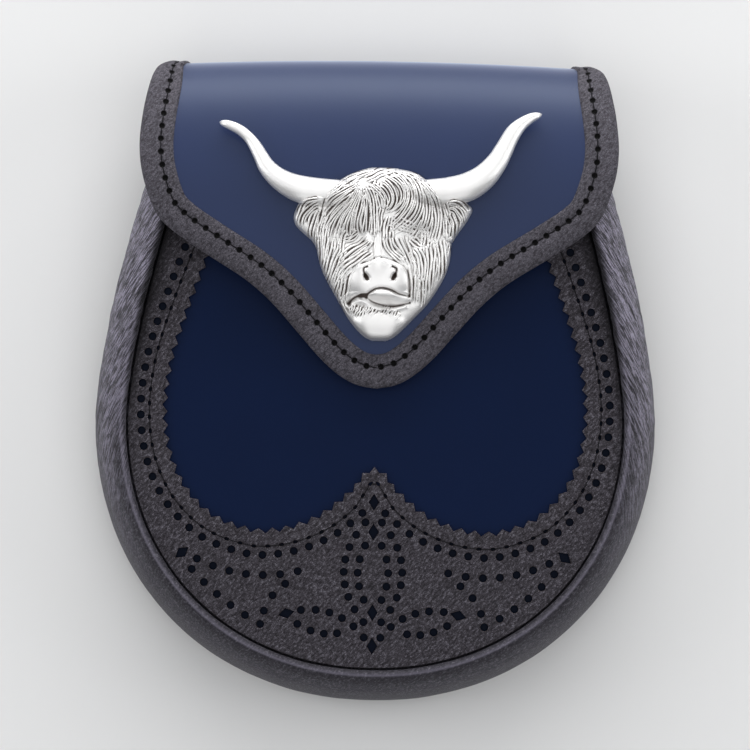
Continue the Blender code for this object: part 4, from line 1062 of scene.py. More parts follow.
class Finish:
    """A material under its own name, and the nodes that make it."""

    def __init__(self, name):
        self.material = bpy.data.materials.get(name) or bpy.data.materials.new(name)
        self.material.use_nodes = True
        self.tree = self.material.node_tree
        self.tree.nodes.clear()
        self.shader = self.tree.nodes.new("ShaderNodeBsdfPrincipled")
        output = self.tree.nodes.new("ShaderNodeOutputMaterial")
        self.tree.links.new(self.shader.outputs[0], output.inputs["Surface"])

    def node(self, kind, settings, sockets, output=0):
        """A node of this kind: its settings first, then its sockets by name or number."""
        made = self.tree.nodes.new("ShaderNode" + kind)
        for setting, value in settings.items():
            setattr(made, setting, value)
        for key, value in sockets.items():
            self._feed(made.inputs[key], value)
        return Wire(self, made.outputs[output])

    def _feed(self, socket, value):
        if isinstance(value, Wire):
            self.tree.links.new(value.socket, socket)
        elif socket.type == "RGBA":
            socket.default_value = (*value, 1.0)
        else:
            socket.default_value = value

    def place(self):
        return self.node("TexCoord", {}, {}, "Object")

    def leather_map(self):
        return self.node("UVMap", {"uv_map": "Leather"}, {})

    def split(self, vector):
        made = self.node("SeparateXYZ", {}, {0: vector})
        return [Wire(self, socket) for socket in made.socket.node.outputs]

    def joined(self, x, y, z=0.0):
        return self.node("CombineXYZ", {}, {0: x, 1: y, 2: z})

    def noise(self, vector, size, detail=2.0, roughness=0.5):
        """Noise from 0 to 1 with features of this size."""
        sockets = {
            "Vector": vector, "Scale": 1.0 / size, "Detail": detail, "Roughness": roughness,
        }
        return self.node("TexNoise", {}, sockets)

    def cells(self, vector, size, feature="DISTANCE_TO_EDGE"):
        """Distances in a pattern of cells of this size."""
        return self.node("TexVoronoi", {"feature": feature}, {"Vector": vector, "Scale": 1.0 / size})

    def shifted(self, vector, other):
        return self.node("VectorMath", {"operation": "ADD"}, {0: vector, 1: other})

    def scaled(self, vector, factor):
        return self.node("VectorMath", {"operation": "MULTIPLY"}, {0: vector, 1: factor})

    def colour(self, mask, first, second):
        settings = {"data_type": "RGBA", "clamp_factor": True}
        return self.node("Mix", settings, {0: mask, 6: first, 7: second}, 2)

    def attribute(self, name):
        return self.node("Attribute", {"attribute_name": name}, {}, "Fac")

    def surface(self, **sockets):
        for key, value in sockets.items():
            self._feed(self.shader.inputs[key.replace("_", " ")], value)

    def relief(self, height):
        """Bump from a height in millimetres."""
        sockets = {"Height": height, "Distance": 1 / MILLIMETRES}
        self.surface(Normal=self.node("Bump", {}, sockets))


def tinted(colour, factor):
    return tuple(part * factor for part in colour)


def pebbled(finish, place, grain):
    """The pebbled grain of a leather: its height in millimetres, and its creases from 0 to 1.

    Its large and finer pebbles and its soft swell are proportions of the grain's size.
    """
    size, depth = grain
    drift = finish.scaled(finish.noise(place, size * 3), (size * 0.8,) * 3)
    moved = finish.shifted(place, drift)
    coarse = finish.cells(moved, size)
    fine = finish.cells(moved, size * 0.45)
    swell = finish.noise(place, size * 1.6)
    crease = 1.0 - coarse.stepped(0.0, 0.16)
    height = coarse.stepped(0.0, 0.34) * depth + fine.stepped(0.0, 0.4) * (depth * 0.45)
    return height + swell * (depth * 1.2), crease


def speckled(finish, place, base, light, dark):
    """The base colour varied from pebble to pebble of the grain, in short slanting streaks; its light
    flecks are partly the grain's own tone and partly painted glints.
    """
    size = SPECKLE_SIZE
    x, y, z = finish.split(place)
    slanted = finish.joined((x + y) * SPECKLE_RUN, (y - x) * SPECKLE_RISE, z)
    drift = finish.scaled(finish.noise(place, size * 2.5, 3.0, 0.7), (size * 0.9,) * 3)
    moved = finish.shifted(slanted, drift)
    fine = finish.noise(moved, size, 2.0, 0.6)
    base = finish.colour(fine.stepped(0.50, 0.68) * 0.85, base, light)
    base = finish.colour((1.0 - fine.stepped(0.32, 0.50)) * 0.90, base, dark)
    cracks = 1.0 - finish.cells(moved, size * 0.6).stepped(0.0, 0.22)
    return finish.colour(cracks * 0.6, base, dark)


def gusset_finish(colours):
    """Soft dyed leather with drawn wrinkles on the upper sides, their highlights and shade painted in
    its colour.
    """
    finish = Finish("gusset_leather")
    place = finish.place()
    grain, crease = pebbled(finish, place, GUSSET_GRAIN)
    along, across, _ = finish.split(finish.leather_map())
    side = abs(along)
    drawn = side.stepped(*STROKE_SIDES)
    turned, over = along_wrinkles(side, across, STROKE_STRETCH)
    slanting = finish.joined(turned, over, along * 0.02)
    lines = finish.noise(slanting, STROKE_SIZE, 3.0, 0.55)
    folds = finish.noise(slanting, STROKE_BROAD)
    stroke = lines * 0.74 + folds * 0.26
    upright = finish.noise(finish.joined(along, across * UPRIGHT_STRETCH), UPRIGHT_SIZE, 3.0, 0.6)
    wrinkle = lines * drawn * 0.70 + folds * drawn * 0.45 + upright * (1.0 - drawn) * 0.10
    mottle = finish.noise(place, GUSSET_MOTTLE, 3.0)
    charcoal = colours.charcoal
    # The strokes' lighter parts are painted highlight and their darker parts painted shade on the
    # wrinkles
    light, dark = stroke.stepped(0.46, 0.58), 1.0 - stroke.stepped(0.38, 0.48)
    base = finish.colour(mottle, charcoal, tinted(charcoal, 1.35))
    base = speckled(finish, place, base, colours.grain_and_glint, tinted(charcoal, 0.45))
    base = finish.colour(light * drawn * 0.9, base, tinted(charcoal, 6.4))
    base = finish.colour(dark * drawn * 0.9, base, tinted(charcoal, 0.25))
    base = finish.colour(crease * 0.35, base, tinted(charcoal, 0.4))
    # Painted highlight along the seam's ridge
    base = finish.colour(finish.attribute("worn"), base, tinted(charcoal, 4.0))
    # Painted shade from `shade`: the crease beside the seam, the band outside the ridge and the lower
    # half
    base = finish.colour(finish.attribute("shade"), base, tinted(charcoal, 0.08))
    finish.surface(
        Base_Color=base, Roughness=0.48 + mottle * 0.12, Specular_IOR_Level=0.16,
        Sheen_Weight=0.10, Sheen_Roughness=0.35, Sheen_Tint=(0.80, 0.77, 0.90),
    )
    finish.relief(grain + wrinkle)
    return finish.material


def grained_finish(name, colours, colour, grain, seam=None):
    """Grained leather for the bib, the binding, the back and the loops.

    It is raw where the attribute `raw` says so, has painted shade where `shade` says so, and
    painted shade along a seam's groove and in its needle holes.
    """
    finish = Finish(name)
    place = finish.place()
    height, crease = pebbled(finish, place, grain)
    mottle = finish.noise(place, LEATHER_MOTTLE, 4.0, 0.6)
    base = finish.colour(mottle, tinted(colour, 0.80), tinted(colour, 1.25))
    base = speckled(finish, place, base, colours.grain_and_glint, tinted(colour, 0.3))
    base = finish.colour(crease * 0.45, base, tinted(colour, 0.3))
    fibre = finish.noise(place, FIBRE_SIZE, 3.0, 0.7)
    raw = finish.attribute("raw")
    edge = finish.colour(fibre, tinted(colour, 0.3), RAW_EDGE)
    base = finish.colour(raw * 0.85, base, edge)
    # Painted shade where `shade` says so, towards the crease beside the seam
    base = finish.colour(finish.attribute("shade"), base, tinted(colour, 0.08))
    if seam:
        along, across, _ = finish.split(finish.leather_map())
        step = finish.node("Math", {"operation": "PINGPONG"}, {0: along, 1: seam.pitch / 2})
        beside = across - seam.line
        away = (step * step + beside * beside) ** 0.5
        hole_shade = 1.0 - away.stepped(seam.reach * 0.7, seam.reach)
        # Painted shade in the seam's groove and in its needle holes
        groove = 1.0 - abs(beside).stepped(*GROOVE_SHADE_REACH)
        base = finish.colour(groove * 0.35, base, tinted(colour, 0.2))
        base = finish.colour(hole_shade, base, HOLE_SHADE)
    finish.surface(
        Base_Color=base, Roughness=0.55 + mottle * 0.14, Specular_IOR_Level=0.08,
    )
    finish.relief(height + raw * fibre * 0.08)
    return finish.material


def navy_finish(name, navy, shine, glow):
    """Smooth dyed hide with a low sheen."""
    finish = Finish(name)
    place = finish.place()
    pores = finish.cells(place, PORE_SIZE, "F1")
    fine = finish.noise(place, HIDE_FINE, 4.0, 0.6)
    cloud = finish.noise(place, HIDE_CLOUD, 3.0)
    streak = finish.noise(finish.scaled(place, (1.0, 0.15, 1.0)), HIDE_STREAK)
    base = finish.colour(cloud, navy, tinted(navy, 1.25))
    base = finish.colour(fine.stepped(0.55, 0.8) * 0.25, base, tinted(navy, 1.6))
    # Painted shade where the bib covers the front
    base = finish.colour(finish.attribute("shade") * 0.75, base, tinted(navy, 0.1))
    finish.surface(
        Base_Color=base, Roughness=0.38 + cloud * 0.06 + fine * 0.06, Specular_IOR_Level=shine,
        Specular_Tint=(0.70, 0.79, 0.92),
        Sheen_Weight=glow, Sheen_Roughness=0.36, Sheen_Tint=(0.72, 0.80, 1.0),
    )
    finish.relief(pores * 0.006 + fine * 0.010 + streak * 0.004)
    return finish.material


def pewter_finish(colours):
    """Cast pewter, polished on what stands proud and dark in what lies low."""
    finish = Finish("antique_pewter")
    place = finish.place()
    hollow = finish.attribute("hollow")
    grit = finish.noise(place, GRIT_SIZE, 3.0, 0.6)
    cloud = finish.noise(place, CASTING_CLOUD)
    dark = (hollow + (grit - 0.5) * 0.25).stepped(0.18, 0.84)
    base = finish.colour(cloud, colours.pewter, tinted(colours.pewter, 0.93))
    base = finish.colour(dark, base, colours.tarnish)
    finish.surface(
        Base_Color=base, Metallic=0.88 - dark * 0.45,
        Roughness=0.40 + cloud * 0.08 + dark * 0.25,
    )
    finish.relief(grit * 0.012 + cloud * 0.015)
    return finish.material


def thread_finish():
    """Waxed black thread."""
    finish = Finish("waxed_thread")
    twist = finish.noise(finish.place(), TWIST_SIZE)
    base = finish.colour(twist, *THREAD_COLOURS)
    finish.surface(Base_Color=base, Roughness=0.60 + twist * 0.15, Specular_IOR_Level=0.1)
    finish.relief(twist * 0.03)
    return finish.material


def stud_finish():
    """Blackened steel of the hidden press stud."""
    finish = Finish("blackened_steel")
    brushed = finish.noise(finish.scaled(finish.place(), (1.0, 8.0, 1.0)), BRUSHED_SIZE, 3.0)
    base = finish.colour(brushed, *STEEL_COLOURS)
    finish.surface(Base_Color=base, Metallic=1.0, Roughness=0.34 + brushed * 0.14)
    finish.relief(brushed * 0.008)
    return finish.material


def floor_finish(colour):
    """Matt paper of the studio's floor."""
    finish = Finish("paper")
    fibre = finish.noise(finish.place(), PAPER_FIBRE, 3.0)
    base = finish.colour(fibre, tinted(colour, 0.995), colour)
    finish.surface(Base_Color=base, Roughness=0.9, Specular_IOR_Level=0.1)
    return finish.material


# Settings


class LeatherColours(bpy.types.PropertyGroup):
    charcoal: FloatVectorProperty(
        name="Charcoal leather", description="Colour of the gusset, the back and the loops",
        subtype="COLOR", default=(0.044, 0.041, 0.053), min=0.0, max=1.0,
    )
    # Colour of the grain's light flecks: partly its own lighter tone, partly painted glints
    grain_and_glint: FloatVectorProperty(
        name="Rubbed leather", description="Colour of the grain's raised parts",
        subtype="COLOR", default=(0.150, 0.142, 0.168), min=0.0, max=1.0,
    )
    brogue: FloatVectorProperty(
        name="Bib leather", description="Colour of the bib",
        subtype="COLOR", default=(0.054, 0.049, 0.059), min=0.0, max=1.0,
    )
    binding: FloatVectorProperty(
        name="Binding leather", description="Colour of the binding",
        subtype="COLOR", default=(0.092, 0.086, 0.103), min=0.0, max=1.0,
    )
    navy: FloatVectorProperty(
        name="Navy hide", description="Colour of the front",
        subtype="COLOR", default=(0.0020, 0.0065, 0.0280), min=0.0, max=1.0,
    )
    # The flap's colour is the front's navy hide made lighter: painted light, where the flap takes more
    # light from above
    flap: FloatVectorProperty(
        name="Flap hide", description="Colour of the flap",
        subtype="COLOR", default=(0.0018, 0.0090, 0.0500), min=0.0, max=1.0,
    )
    pewter: FloatVectorProperty(
        name="Pewter", description="Colour of the badge where it is polished",
        subtype="COLOR", default=(0.90, 0.89, 0.88), min=0.0, max=1.0,
    )
    tarnish: FloatVectorProperty(
        name="Tarnish", description="Colour of the badge in its hollows",
        subtype="COLOR", default=(0.060, 0.044, 0.038), min=0.0, max=1.0,
    )


class StitchSizes(bpy.types.PropertyGroup):
    binding_pitch: FloatProperty(
        name="Binding stitches", description="Length of one stitch of the binding",
        unit="LENGTH", default=0.0042, min=0.002, max=0.010,
    )
    bib_pitch: FloatProperty(
        name="Bib stitches", description="Length of one stitch of the bib",
        unit="LENGTH", default=0.0044, min=0.002, max=0.010,
    )
    back_pitch: FloatProperty(
        name="Back stitches", description="Length of one stitch of the back",
        unit="LENGTH", default=0.0045, min=0.002, max=0.010,
    )
    thread: FloatProperty(
        name="Thread", description="Radius of the thread",
        unit="LENGTH", default=0.00026, min=0.0001, max=0.001,
    )


class BrogueSizes(bpy.types.PropertyGroup):
    hole: FloatProperty(
        name="Punched hole", description="Radius of a punched hole",
        unit="LENGTH", default=0.00128, min=0.0005, max=0.003,
    )
    border_pitch: FloatProperty(
        name="Border holes", description="Distance between the holes of the border",
        unit="LENGTH", default=0.0050, min=0.003, max=0.010,
    )
    tooth_pitch: FloatProperty(
        name="Pinked teeth", description="Distance between the pinked edge's teeth",
        unit="LENGTH", default=0.0043, min=0.002, max=0.010,
    )
    rounding: FloatProperty(
        name="Edge rounding", description="Radius of the bib's cut edges",
        unit="LENGTH", default=0.00014, min=0.0, max=0.0004,
    )


class StudioSettings(bpy.types.PropertyGroup):
    distance: FloatProperty(
        name="Camera distance", description="From the camera to the front of the pouch",
        unit="LENGTH", default=4.0, min=0.5, max=8.0,
    )
    width: FloatProperty(
        name="Picture width", description="Width of the picture at the front of the pouch",
        unit="LENGTH", default=0.2364, min=0.1, max=0.6,
    )
    roll: FloatProperty(
        name="Camera roll", description="Turn of the camera about its view",
        subtype="ANGLE", default=math.radians(0.85), min=-0.2, max=0.2,
    )
    paper: FloatVectorProperty(
        name="Floor", description="Colour of the floor",
        subtype="COLOR", default=(0.72, 0.72, 0.72), min=0.0, max=1.0,
    )


class SporranSettings(bpy.types.PropertyGroup):
    colours: PointerProperty(type=LeatherColours)
    stitches: PointerProperty(type=StitchSizes)
    brogue: PointerProperty(type=BrogueSizes)
    studio: PointerProperty(type=StudioSettings)


# Stitches


def trimmed(ends, share):
    """Starts and stops of the stitches between these ends, this share shorter at each end."""
    trim = share * (ends[1:] - ends[:-1])
    return ends[:-1] + trim, ends[1:] - trim


def sewn(name, slot, starts, stops, outs, radius, sink):
    """A row of short threads, each from a start to a stop and lying on a face, sunk into it."""
    bm = bmesh.new()
    for start, stop, out in zip(starts, stops, outs):
        run = stop - start
        length = float(np.linalg.norm(run))
        forward = Vector(run / length)
        up = Vector(out).normalized()
        side = forward.cross(up).normalized()
        up = side.cross(forward)
        turn = Matrix((forward, side, up)).transposed().to_4x4()
        size = Matrix.Diagonal((length / 2, radius, radius * THREAD_FLATNESS, 1.0))
        middle = Vector((start + stop) / 2) + up * (radius * THREAD_RISE - sink)
        bmesh.ops.create_uvsphere(
            bm, u_segments=8, v_segments=5, radius=1.0,
            matrix=Matrix.Translation(middle) @ turn @ size @ Matrix.Rotation(math.pi / 2, 4, "Y"),
        )
    mesh = to_mesh(bm, name)
    mesh.shade_smooth()
    piece(name, mesh, thread_finish(), slot)


# The badge's relief


def horn_line(rows):
    """A horn's middle line from above, with its radius and its seat's height along it."""
    line = smooth_line([(row.x, row.y) for row in rows], HORN_STEPS)
    radius = smooth_line([(row.x, row.radius) for row in rows], HORN_STEPS)[:, 1]
    wanted = np.linspace(0.0, distances(line)[-1], HORN_STATIONS)
    radius = np.interp(wanted, distances(line), radius)
    line = at_distances(line, wanted)
    tip = np.clip(distances(line)[::-1] / HORN_TIP, 0, 1)
    radius = np.maximum(radius * np.sqrt(1 - (1 - tip) ** 2), HORN_LEAST)
    root = flap_surface(line[0, 1])
    fall = np.maximum(0.0, root - flap_surface(line[:, 1]))
    return line, radius, root - HORN_FOLLOW * fall + BADGE_SEAT


def outside_loop(loop, x, y):
    """Distance outside a smooth closed loop of places in millimetres, below 0 inside it."""
    corners = np.array(loop) / MILLIMETRES
    wrapped = np.vstack([corners[-2:], corners, corners[:3]])
    line = smooth_line(wrapped, CURVE_STEPS)[2 * CURVE_STEPS:-2 * CURVE_STEPS]
    near = np.full(x.shape, LOOP_FAR)
    low, high = line.min(axis=0) - LOOP_FAR, line.max(axis=0) + LOOP_FAR
    window = (x > low[0]) & (x < high[0]) & (y > low[1]) & (y < high[1])
    x, y = x[window], y[window]
    best, inside = np.full(x.shape, np.inf), np.zeros(x.shape, bool)
    for (ax, ay), (bx, by) in zip(line[:-1], line[1:]):
        run_x, run_y = bx - ax, by - ay
        length = max(run_x ** 2 + run_y ** 2, TINY ** 2)
        share = np.clip(((x - ax) * run_x + (y - ay) * run_y) / length, 0, 1)
        best = np.minimum(best, np.hypot(x - ax - share * run_x, y - ay - share * run_y))
        if ay != by:
            crossing = ((ay > y) != (by > y)) & (x < ax + (y - ay) / run_y * run_x)
            inside ^= crossing
    near[window] = np.where(inside, -best, np.minimum(best, LOOP_FAR))
    return near


class Relief:
    """The cow's head drawn as heights over a fine raster, in millimetres."""

    def __init__(self):
        (low_x, low_y), (high_x, high_y) = RELIEF_LOW, RELIEF_HIGH
        self.x = np.arange(low_x, high_x, RASTER)
        self.y = np.arange(low_y, high_y, RASTER)
        across, up = np.meshgrid(self.x / MILLIMETRES, self.y / MILLIMETRES)
        self.ears = [outside_loop(loop, across, up) for loop in (EAR_LEFT, EAR_RIGHT)]
        self.outside = self.outline(across, up)
        self.base = self.face(across, up) * MILLIMETRES
        self.hair = np.zeros_like(across)
        self.marks = np.zeros_like(across)
        random = np.random.default_rng(HAIR_SEED)
        for lock in sorted(LOCKS, key=lambda lock: lock.level):
            self.comb(lock, random)
        for mark in MARKS:
            self.draw(mark)
        bare = np.zeros_like(across)
        for part in BARE:
            away = self.away(part, across, up)
            bare = np.maximum(bare, part.rise * np.exp(-away ** 4))
        self.hair = self.hair * (1 - bare) + HAIR_DEPTH * bare
        self.height = self.base + self.hair - HAIR_DEPTH + self.marks

    def away(self, part, x, y):
        return ((x - part.x) / part.half_width) ** 2 + ((y - part.y) / part.half_height) ** 2

    def head_edges(self, y):
        left = smooth_line([(row.y, row.left) for row in HEAD_ROWS], HEAD_STEPS)
        right = smooth_line([(row.y, row.right) for row in HEAD_ROWS], HEAD_STEPS)
        return [np.interp(-y, -edge[:, 0], edge[:, 1]) for edge in (left, right)]

    def outline(self, x, y):
        """Distance outside the head and the ears, below 0 inside them."""
        left, right = self.head_edges(y)
        top, bottom = HEAD_ROWS[0].y, HEAD_ROWS[-1].y
        slope_left = np.gradient(left, axis=0) / np.gradient(y, axis=0)
        slope_right = np.gradient(right, axis=0) / np.gradient(y, axis=0)
        sides = np.maximum(
            (left - x) / np.sqrt(1 + slope_left ** 2), (x - right) / np.sqrt(1 + slope_right ** 2),
        )
        head = np.maximum(sides, np.maximum(y - top, bottom - y))
        for ear in self.ears:
            head = np.minimum(head, ear)
        return head

    def face(self, x, y):
        """Height of the casting without its hair, over its seat."""
        left, right = self.head_edges(y)
        across = np.clip((2 * x - left - right) / (right - left), -1, 1)
        down = np.clip((HEAD_ROWS[0].y - y) / (HEAD_ROWS[0].y - HEAD_ROWS[-1].y), 0, 1)
        swell = np.sqrt(1 - across ** 4) * np.sqrt(np.maximum(0, 1 - (2 * down - 1) ** 10))
        height = HEAD_EDGE + HEAD_DOME * swell
        for part in FEATURES:
            height = height + part.rise * swell * np.exp(-self.away(part, x, y) ** 2)
        for ear in self.ears:
            depth = np.clip(-ear / EAR_ROUNDING, 0, 1)
            dome = EAR_RISE * (EAR_EDGE + (1 - EAR_EDGE) * np.sqrt(1 - (1 - depth) ** 2))
            height = np.maximum(height, np.where(ear < 0, dome, 0))
        for rows in (HORN_LEFT, HORN_RIGHT):
            height = np.maximum(height, self.over_horn(rows, x, y))
        return height

    def over_horn(self, rows, x, y):
        """Height of the hair where it lies over a horn's root."""
        line, radii, seat = horn_line(rows)
        height = np.zeros_like(x)
        root = flap_surface(y) + BADGE_SEAT
        for (at_x, at_y), radius, level in list(zip(line, radii, seat))[:HORN_ROOT]:
            reach = radius + HAIR_OVER_HORN
            away = np.hypot(x - at_x, y - at_y) / reach
            top = level + reach * HORN_FLATNESS * (np.sqrt(np.maximum(0, 1 - away ** 2)) + 1)
            height = np.maximum(height, np.where(away < 1, top - root, 0))
        return height

    def comb(self, lock, random):
        """Strands of one lock, side by side and each a little apart from its curve."""
        t = np.linspace(0, 1, STRAND_STEPS)
        root, bend_1, bend_2, end = (
            np.array(point) for point in (lock.root, lock.bend_1, lock.bend_2, lock.end)
        )
        u = t[:, None]
        line = ((1 - u) ** 3 * root + 3 * (1 - u) ** 2 * u * bend_1
                + 3 * (1 - u) * u ** 2 * bend_2 + u ** 3 * end)
        side = offset(line, 1.0) - line
        width = lock.root_width + (lock.end_width - lock.root_width) * t
        least, most = STRAND_WIDTHS
        swell, thin = STRAND_TAPERS
        for place in random.permutation(np.linspace(-0.5, 0.5, lock.strands)):
            turns = t * random.uniform(1, 2) + random.uniform()
            wave = STRAND_WAVE * np.sin(2 * math.pi * turns)
            start, stop = random.uniform(*STRAND_STARTS), random.uniform(*STRAND_ENDS)
            shift = width * (place + random.uniform(-STRAND_STRAY, STRAND_STRAY)) + wave
            path = line + side * shift[:, None]
            inside = (t >= start) & (t <= stop)
            share = np.clip((t - start) / (stop - start), 0, 1)
            taper = np.clip(np.minimum(share * swell, (1 - share) * thin), 0, 1) ** 0.5
            spread = np.clip(width / lock.strands, least * STRAND_WIDTH, STRAND_WIDTH * most)
            thick = spread / 2 * random.uniform(*STRAND_THICKNESS)
            lift = LEVEL_RISE * lock.level + random.uniform(-LEVEL_STRAY, LEVEL_STRAY)
            thick = thick * (STRAND_POINT + (1 - STRAND_POINT) * taper)
            self.stamp(path[inside], thick[inside], HAIR_DEPTH * taper[inside], lift)

    def stamp(self, path, thick, high, lift):
        """One strand: a groove that parts it from what lies beneath, then its rounded back."""
        length = distances(path)
        wanted = np.linspace(0, length[-1], max(2, int(length[-1] / RASTER)))
        rows = read_rows(wanted, length, np.column_stack([path, thick, high]))
        for x, y, width, _ in rows:
            window, away = self.around(x, y, width * STRAND_GROOVE)
            if window is not None:
                self.hair[window] *= np.where(away < 1, smoothstep(*GROOVE_BAND, away), 1.0)
        for x, y, width, height in rows:
            window, away = self.around(x, y, width)
            if window is not None:
                ridge = np.sqrt(np.maximum(0, 1 - away ** 2)) * (height + lift)
                self.hair[window] = np.maximum(self.hair[window], ridge)

    def around(self, x, y, reach):
        """The part of the raster within reach of a place, and how far it is away in reaches."""
        column, row = (x - RELIEF_LOW[0]) / RASTER, (y - RELIEF_LOW[1]) / RASTER
        cells = int(reach / RASTER) + 2
        left, low = int(column) - cells, int(row) - cells
        if left < 0 or low < 0 or left + 2 * cells > len(self.x) or low + 2 * cells > len(self.y):
            return None, None
        window = (slice(low, low + 2 * cells), slice(left, left + 2 * cells))
        away = np.hypot(self.x[None, window[1]] - x, self.y[window[0], None] - y) / reach
        return window, away

    def draw(self, mark):
        """One line of the face, raised or sunk along its curve."""
        line = smooth_line(mark.points, MARK_STEPS)
        line = evenly(line, int(distances(line)[-1] / RASTER) + 2)
        drawn = np.zeros_like(self.marks)
        for x, y in line:
            window, away = self.around(x, y, mark.half_width * MARK_REACH)
            if window is not None:
                depth = np.exp(-(away * MARK_REACH) ** 2 * MARK_FALL)
                drawn[window] = np.maximum(drawn[window], depth)
        self.marks += mark.rise * drawn

    def hollows(self):
        """How deep each place lies beside its surroundings, from 0 to 1."""
        height = self.hair + MARK_SHADE * self.marks
        total = np.pad(height, HOLLOW_REACH, mode="edge").cumsum(0).cumsum(1)
        size = 2 * HOLLOW_REACH
        mean = (total[size:, size:] - total[:-size, size:] - total[size:, :-size]
                + total[:-size, :-size]) / size ** 2
        mean = mean[:height.shape[0], :height.shape[1]]
        beside = (mean - height + HOLLOW_START) / HOLLOW_RANGE
        return np.clip(np.maximum(beside, HOLLOW_MARK * self.marks - HOLLOW_SHALLOW), 0, 1)

    def read(self, field, x, y):
        """The field at places, between its raster's points."""
        column = np.clip((x * MILLIMETRES - RELIEF_LOW[0]) / RASTER, 0, len(self.x) - LAST_CELL)
        row = np.clip((y * MILLIMETRES - RELIEF_LOW[1]) / RASTER, 0, len(self.y) - LAST_CELL)
        left, low = column.astype(int), row.astype(int)
        u, v = column - left, row - low
        return ((1 - v) * ((1 - u) * field[low, left] + u * field[low, left + 1])
                + v * ((1 - u) * field[low + 1, left] + u * field[low + 1, left + 1]))


# Operators


class SPORRAN_OT_gusset(bpy.types.Operator):
    """The gusset of soft leather round the sides and the bottom"""

    bl_idname = "sporran.gusset"
    bl_label = "Gusset"

    def execute(self, context):
        colours = context.scene.sporran.colours
        nominal = np.array([
            (row.inset, row.share * SEAM_HEIGHT + row.lift - row.sunk * RECESS_LOW)
            for row in GUSSET_SECTION
        ])
        middle = smooth_line(nominal, SECTION_STEPS)
        shares = smooth_line([(row.share, row.sunk) for row in GUSSET_SECTION], SECTION_STEPS)
        outer = offset(middle, GUSSET_LEATHER / 2)
        wanted = np.linspace(0.0, distances(outer)[-1], GUSSET_ROWS)
        rows = at_distances(outer, wanted)
        shares = read_rows(wanted, distances(outer), np.clip(shares, 0.0, 1.0))
        across = distances(rows)
        places = np.empty((GUSSET_ROWS, GUSSET_STATIONS + 1, 3))
        leather = np.empty((GUSSET_ROWS, GUSSET_STATIONS + 1, 2))
        for number, ((inset, height), (share, sunk)) in enumerate(zip(rows, shares)):
            ring = pouch_line(inset, GUSSET_TOP, GUSSET_STATIONS)
            x, y = ring.T
            lift = height - share * SEAM_HEIGHT + sunk * RECESS_LOW
            z = share * seam_height(y) + lift - sunk * recess(y)
            places[number] = np.column_stack([x, y, z])
            along = distances(ring)
            leather[number] = np.column_stack([along - along[-1] / 2, np.full(len(x), across[number])])
        shade, worn = self.shading(rows[:, :1], places)
        places += self.folded(leather)[..., None] * normals_of(places)
        mesh = sheet("gusset_leather", places, leather)
        set_field(mesh, "shade", shade)
        set_field(mesh, "worn", worn)
        mesh = thickened(mesh, GUSSET_LEATHER)
        piece("gusset_leather", mesh, gusset_finish(colours), "charcoal_leather", "gusset")
        return {"FINISHED"}

    def shading(self, insets, places):
        """How much shade is painted on the leather beside the seam and low down, and how much highlight
        along the seam's ridge.
        """
        front = np.arange(GUSSET_ROWS)[:, None] > GUSSET_ROWS // 2
        low = 1 - smoothstep(*LOW_HEIGHTS, places[..., 1])
        side = 1 - smoothstep(*SIDE_HEIGHTS, places[..., 2] / SEAM_HEIGHT)
        band = smoothstep(*BAND_RISE, insets) * (1 - smoothstep(*BAND_FALL, insets))
        shade = np.where(front, crease_shade(insets, places[..., 1]), 0)
        # Painted shade on the lower half of the gusset, low on its side near the floor
        shade = np.maximum(shade, SIDE_SHADE * low * side)
        shade = np.maximum(shade, BAND_SHADE * front * low * band)
        # A painted highlight along the seam's ridge, stronger on the lower half
        ridge = np.exp(-((insets - RIDGE_INSET) / RIDGE_WIDTH) ** 2)
        return shade, front * (RIDGE_HIGHLIGHT + RIDGE_HIGHLIGHT_LOW * low) * ridge

    def folded(self, leather):
        """How far the soft leather's folds lift it, more on the upper sides than at the bottom."""
        along, across = leather[..., 0], leather[..., 1]
        side = np.abs(along)
        turned, over = along_wrinkles(side, across, FOLD_STRETCH)
        fine, broad = (wander(turned, over, *fold) for fold in zip(FOLD_SIZES, FOLD_SEEDS))
        strength = smoothstep(*FOLD_SIDES, side) * smoothstep(*FOLD_ACROSS, across)
        large, small = (wander(along, across, *soft) for soft in zip(SOFT_SIZES, SOFT_SEEDS))
        folds, soft = fine + FOLD_BROAD * broad, large + SOFT_SMALL * small
        return FOLD_DEPTH * strength * folds + SOFT_DEPTH * soft


class SPORRAN_OT_front(bpy.types.Operator):
    """The smooth navy front behind the bib"""

    bl_idname = "sporran.front"
    bl_label = "Front"

    def execute(self, context):
        line = pouch_line(FRONT_INSET, FRONT_TOP, LINE_STATIONS)
        right = line[len(line) // 2:]
        rises = np.linspace(0.0, 1.0, FRONT_ROWS) ** FRONT_BUNCHING
        heights = right[0, 1] + (FRONT_TOP - right[0, 1]) * rises
        widths = np.interp(heights, right[:, 1], right[:, 0])
        shares = np.sin(np.linspace(-math.pi / 2, math.pi / 2, FRONT_COLUMNS + 1))
        x = widths[:, None] * shares
        y = np.broadcast_to(heights[:, None], x.shape)
        places = np.stack([x, y, front_surface(x, y)], axis=-1)
        mesh = sheet("front_hide", places, np.stack([x, y], axis=-1))
        set_field(mesh, "shade", self.shade_under_bib(x, y))
        mesh = thickened(mesh, FRONT_LEATHER)
        navy = context.scene.sporran.colours.navy
        finish = navy_finish("front_hide", navy, FRONT_SHINE, FRONT_GLOW)
        piece("front_hide", mesh, finish, "navy_leather", "front_panel")
        return {"FINISHED"}

    def shade_under_bib(self, x, y):
        """Where the bib covers the front, which has painted shade there."""
        inner = offset(smooth_line(BORDER_LINE, 2), -TOOTH_ROOT) * MILLIMETRES
        loop = np.vstack([inner, inner[::-1] * (-1, 1)])
        return smoothstep(*UNDER_BIB_SHADE, outside_loop(loop, x, y))


